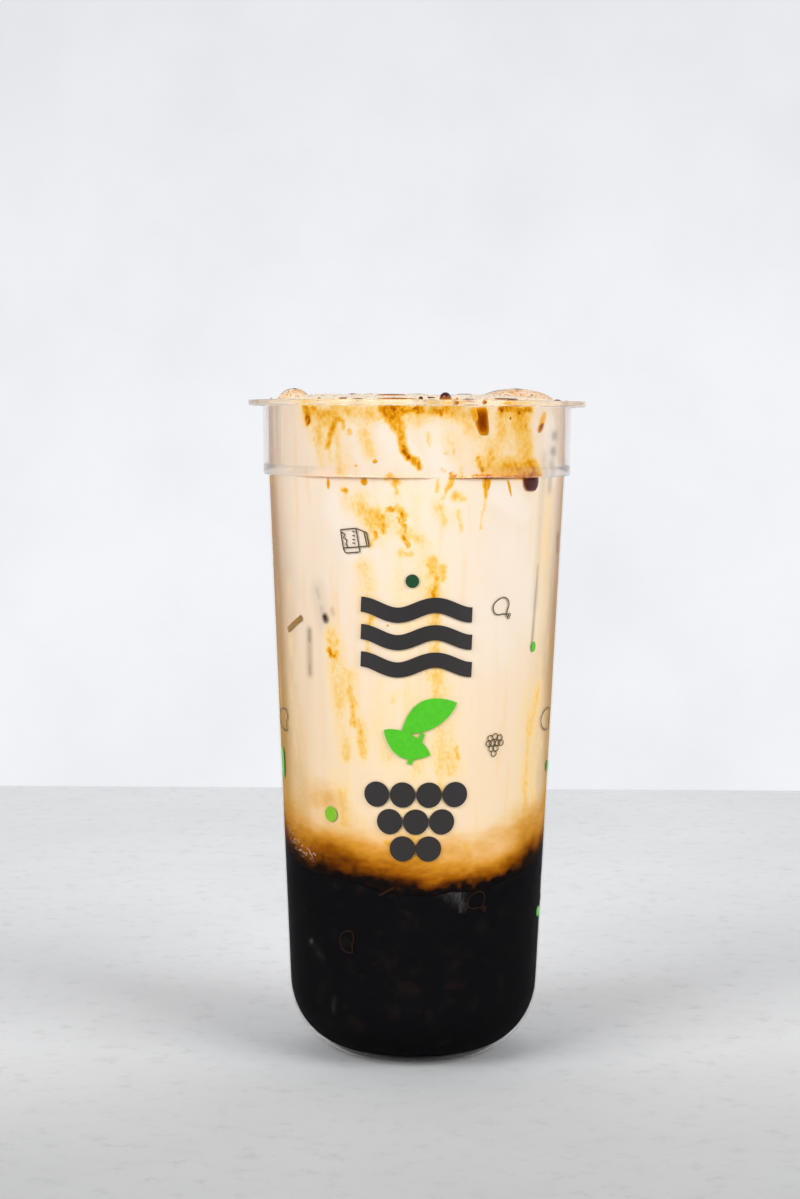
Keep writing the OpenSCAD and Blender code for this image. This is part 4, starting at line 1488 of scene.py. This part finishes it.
def stage_plane(name, corners, **surface):
    """A flat piece of the stage."""
    piece = add_object(name, mesh_of(name, corners, [(0, 1, 2, 3)]), stage_surface(name, **surface))


def add_camera(stage):
    """The camera in front of the cup."""
    data = bpy.data.cameras.new("camera")
    data.lens = stage.lens
    data.clip_start = 0.01
    camera = bpy.data.objects.new("camera", data)
    bpy.context.scene.collection.objects.link(camera)
    camera.location = (-stage.aside, -stage.distance, stage.eye_height)
    look = Matrix.Rotation(math.pi / 2 - stage.tilt, 3, "X") @ Matrix.Rotation(stage.roll, 3, "Z")
    camera.rotation_euler = look.to_euler()
    bpy.context.scene.camera = camera


def add_light(name, at, target, power):
    """A soft square light, a metre wide, that looks at a point."""
    data = bpy.data.lights.new(name, "AREA")
    data.size = 1.0
    data.energy = power
    light = bpy.data.objects.new(name, data)
    bpy.context.scene.collection.objects.link(light)
    light.location = at
    light.rotation_euler = (Vector(target) - Vector(at)).to_track_quat("-Z", "Y").to_euler()


def add_world():
    """A pale surround, which lights the cup only faintly, so that its walls mirror little."""
    world = bpy.data.worlds.new("surround")
    world.use_nodes = True
    world.node_tree.nodes.clear()
    tree = Tree(world.node_tree)
    path = world.node_tree.nodes.new("ShaderNodeLightPath").outputs
    seen = tree.calc("MAXIMUM", path["Is Camera Ray"], path["Is Transmission Ray"])
    faint = tree.add("ShaderNodeBackground", {0: (0.95, 0.97, 1.0, 1), 1: 0.12})
    pale = tree.add("ShaderNodeBackground", {0: (0.87, 0.87, 0.9, 1), 1: 1.0})
    tree.add("ShaderNodeOutputWorld", {0: tree.add("ShaderNodeMixShader", {0: seen, 1: faint, 2: pale})})
    bpy.context.scene.world = world
    bpy.context.scene.view_settings.view_transform = "Standard"


class VIEW3D_PT_bubble_tea(bpy.types.Panel):
    """Buttons for each part of the drink."""
    bl_label = "Bubble Tea"
    bl_idname = "VIEW3D_PT_bubble_tea"
    bl_space_type = "VIEW_3D"
    bl_region_type = "UI"
    bl_category = "Bubble Tea"

    def draw(self, context):
        for operator in OPERATORS:
            self.layout.operator(operator.bl_idname)
        part = settings()
        for group in (part.cup, part.drink, part.colours, part.stage):
            box = self.layout.box()
            for key in group.__annotations__:
                box.prop(group, key)


OPERATORS = (
    BUBBLETEA_OT_set_stage, BUBBLETEA_OT_mould_cup, BUBBLETEA_OT_pour_syrup, BUBBLETEA_OT_add_pearls,
    BUBBLETEA_OT_pour_milk, BUBBLETEA_OT_top_milk, BUBBLETEA_OT_float_ice, BUBBLETEA_OT_drip_syrup,
    BUBBLETEA_OT_froth_top, BUBBLETEA_OT_print_cup)
GROUPS = (CupSizes, DrinkSizes, PartColours, StageSizes, BubbleTeaSettings)
CLASSES = (*GROUPS, *OPERATORS, VIEW3D_PT_bubble_tea)


def register():
    """Registers the classes and the settings."""
    for item in CLASSES:
        bpy.utils.register_class(item)
    bpy.types.Scene.bubble_tea = bpy.props.PointerProperty(type=BubbleTeaSettings)


def unregister():
    """Removes the classes and the settings."""
    del bpy.types.Scene.bubble_tea
    for item in reversed(CLASSES):
        bpy.utils.unregister_class(item)


def main():
    """Makes every piece."""
    register()
    for operator in OPERATORS:
        group, name = operator.bl_idname.split(".")
        getattr(getattr(bpy.ops, group), name)()


if __name__ == "__main__":
    main()
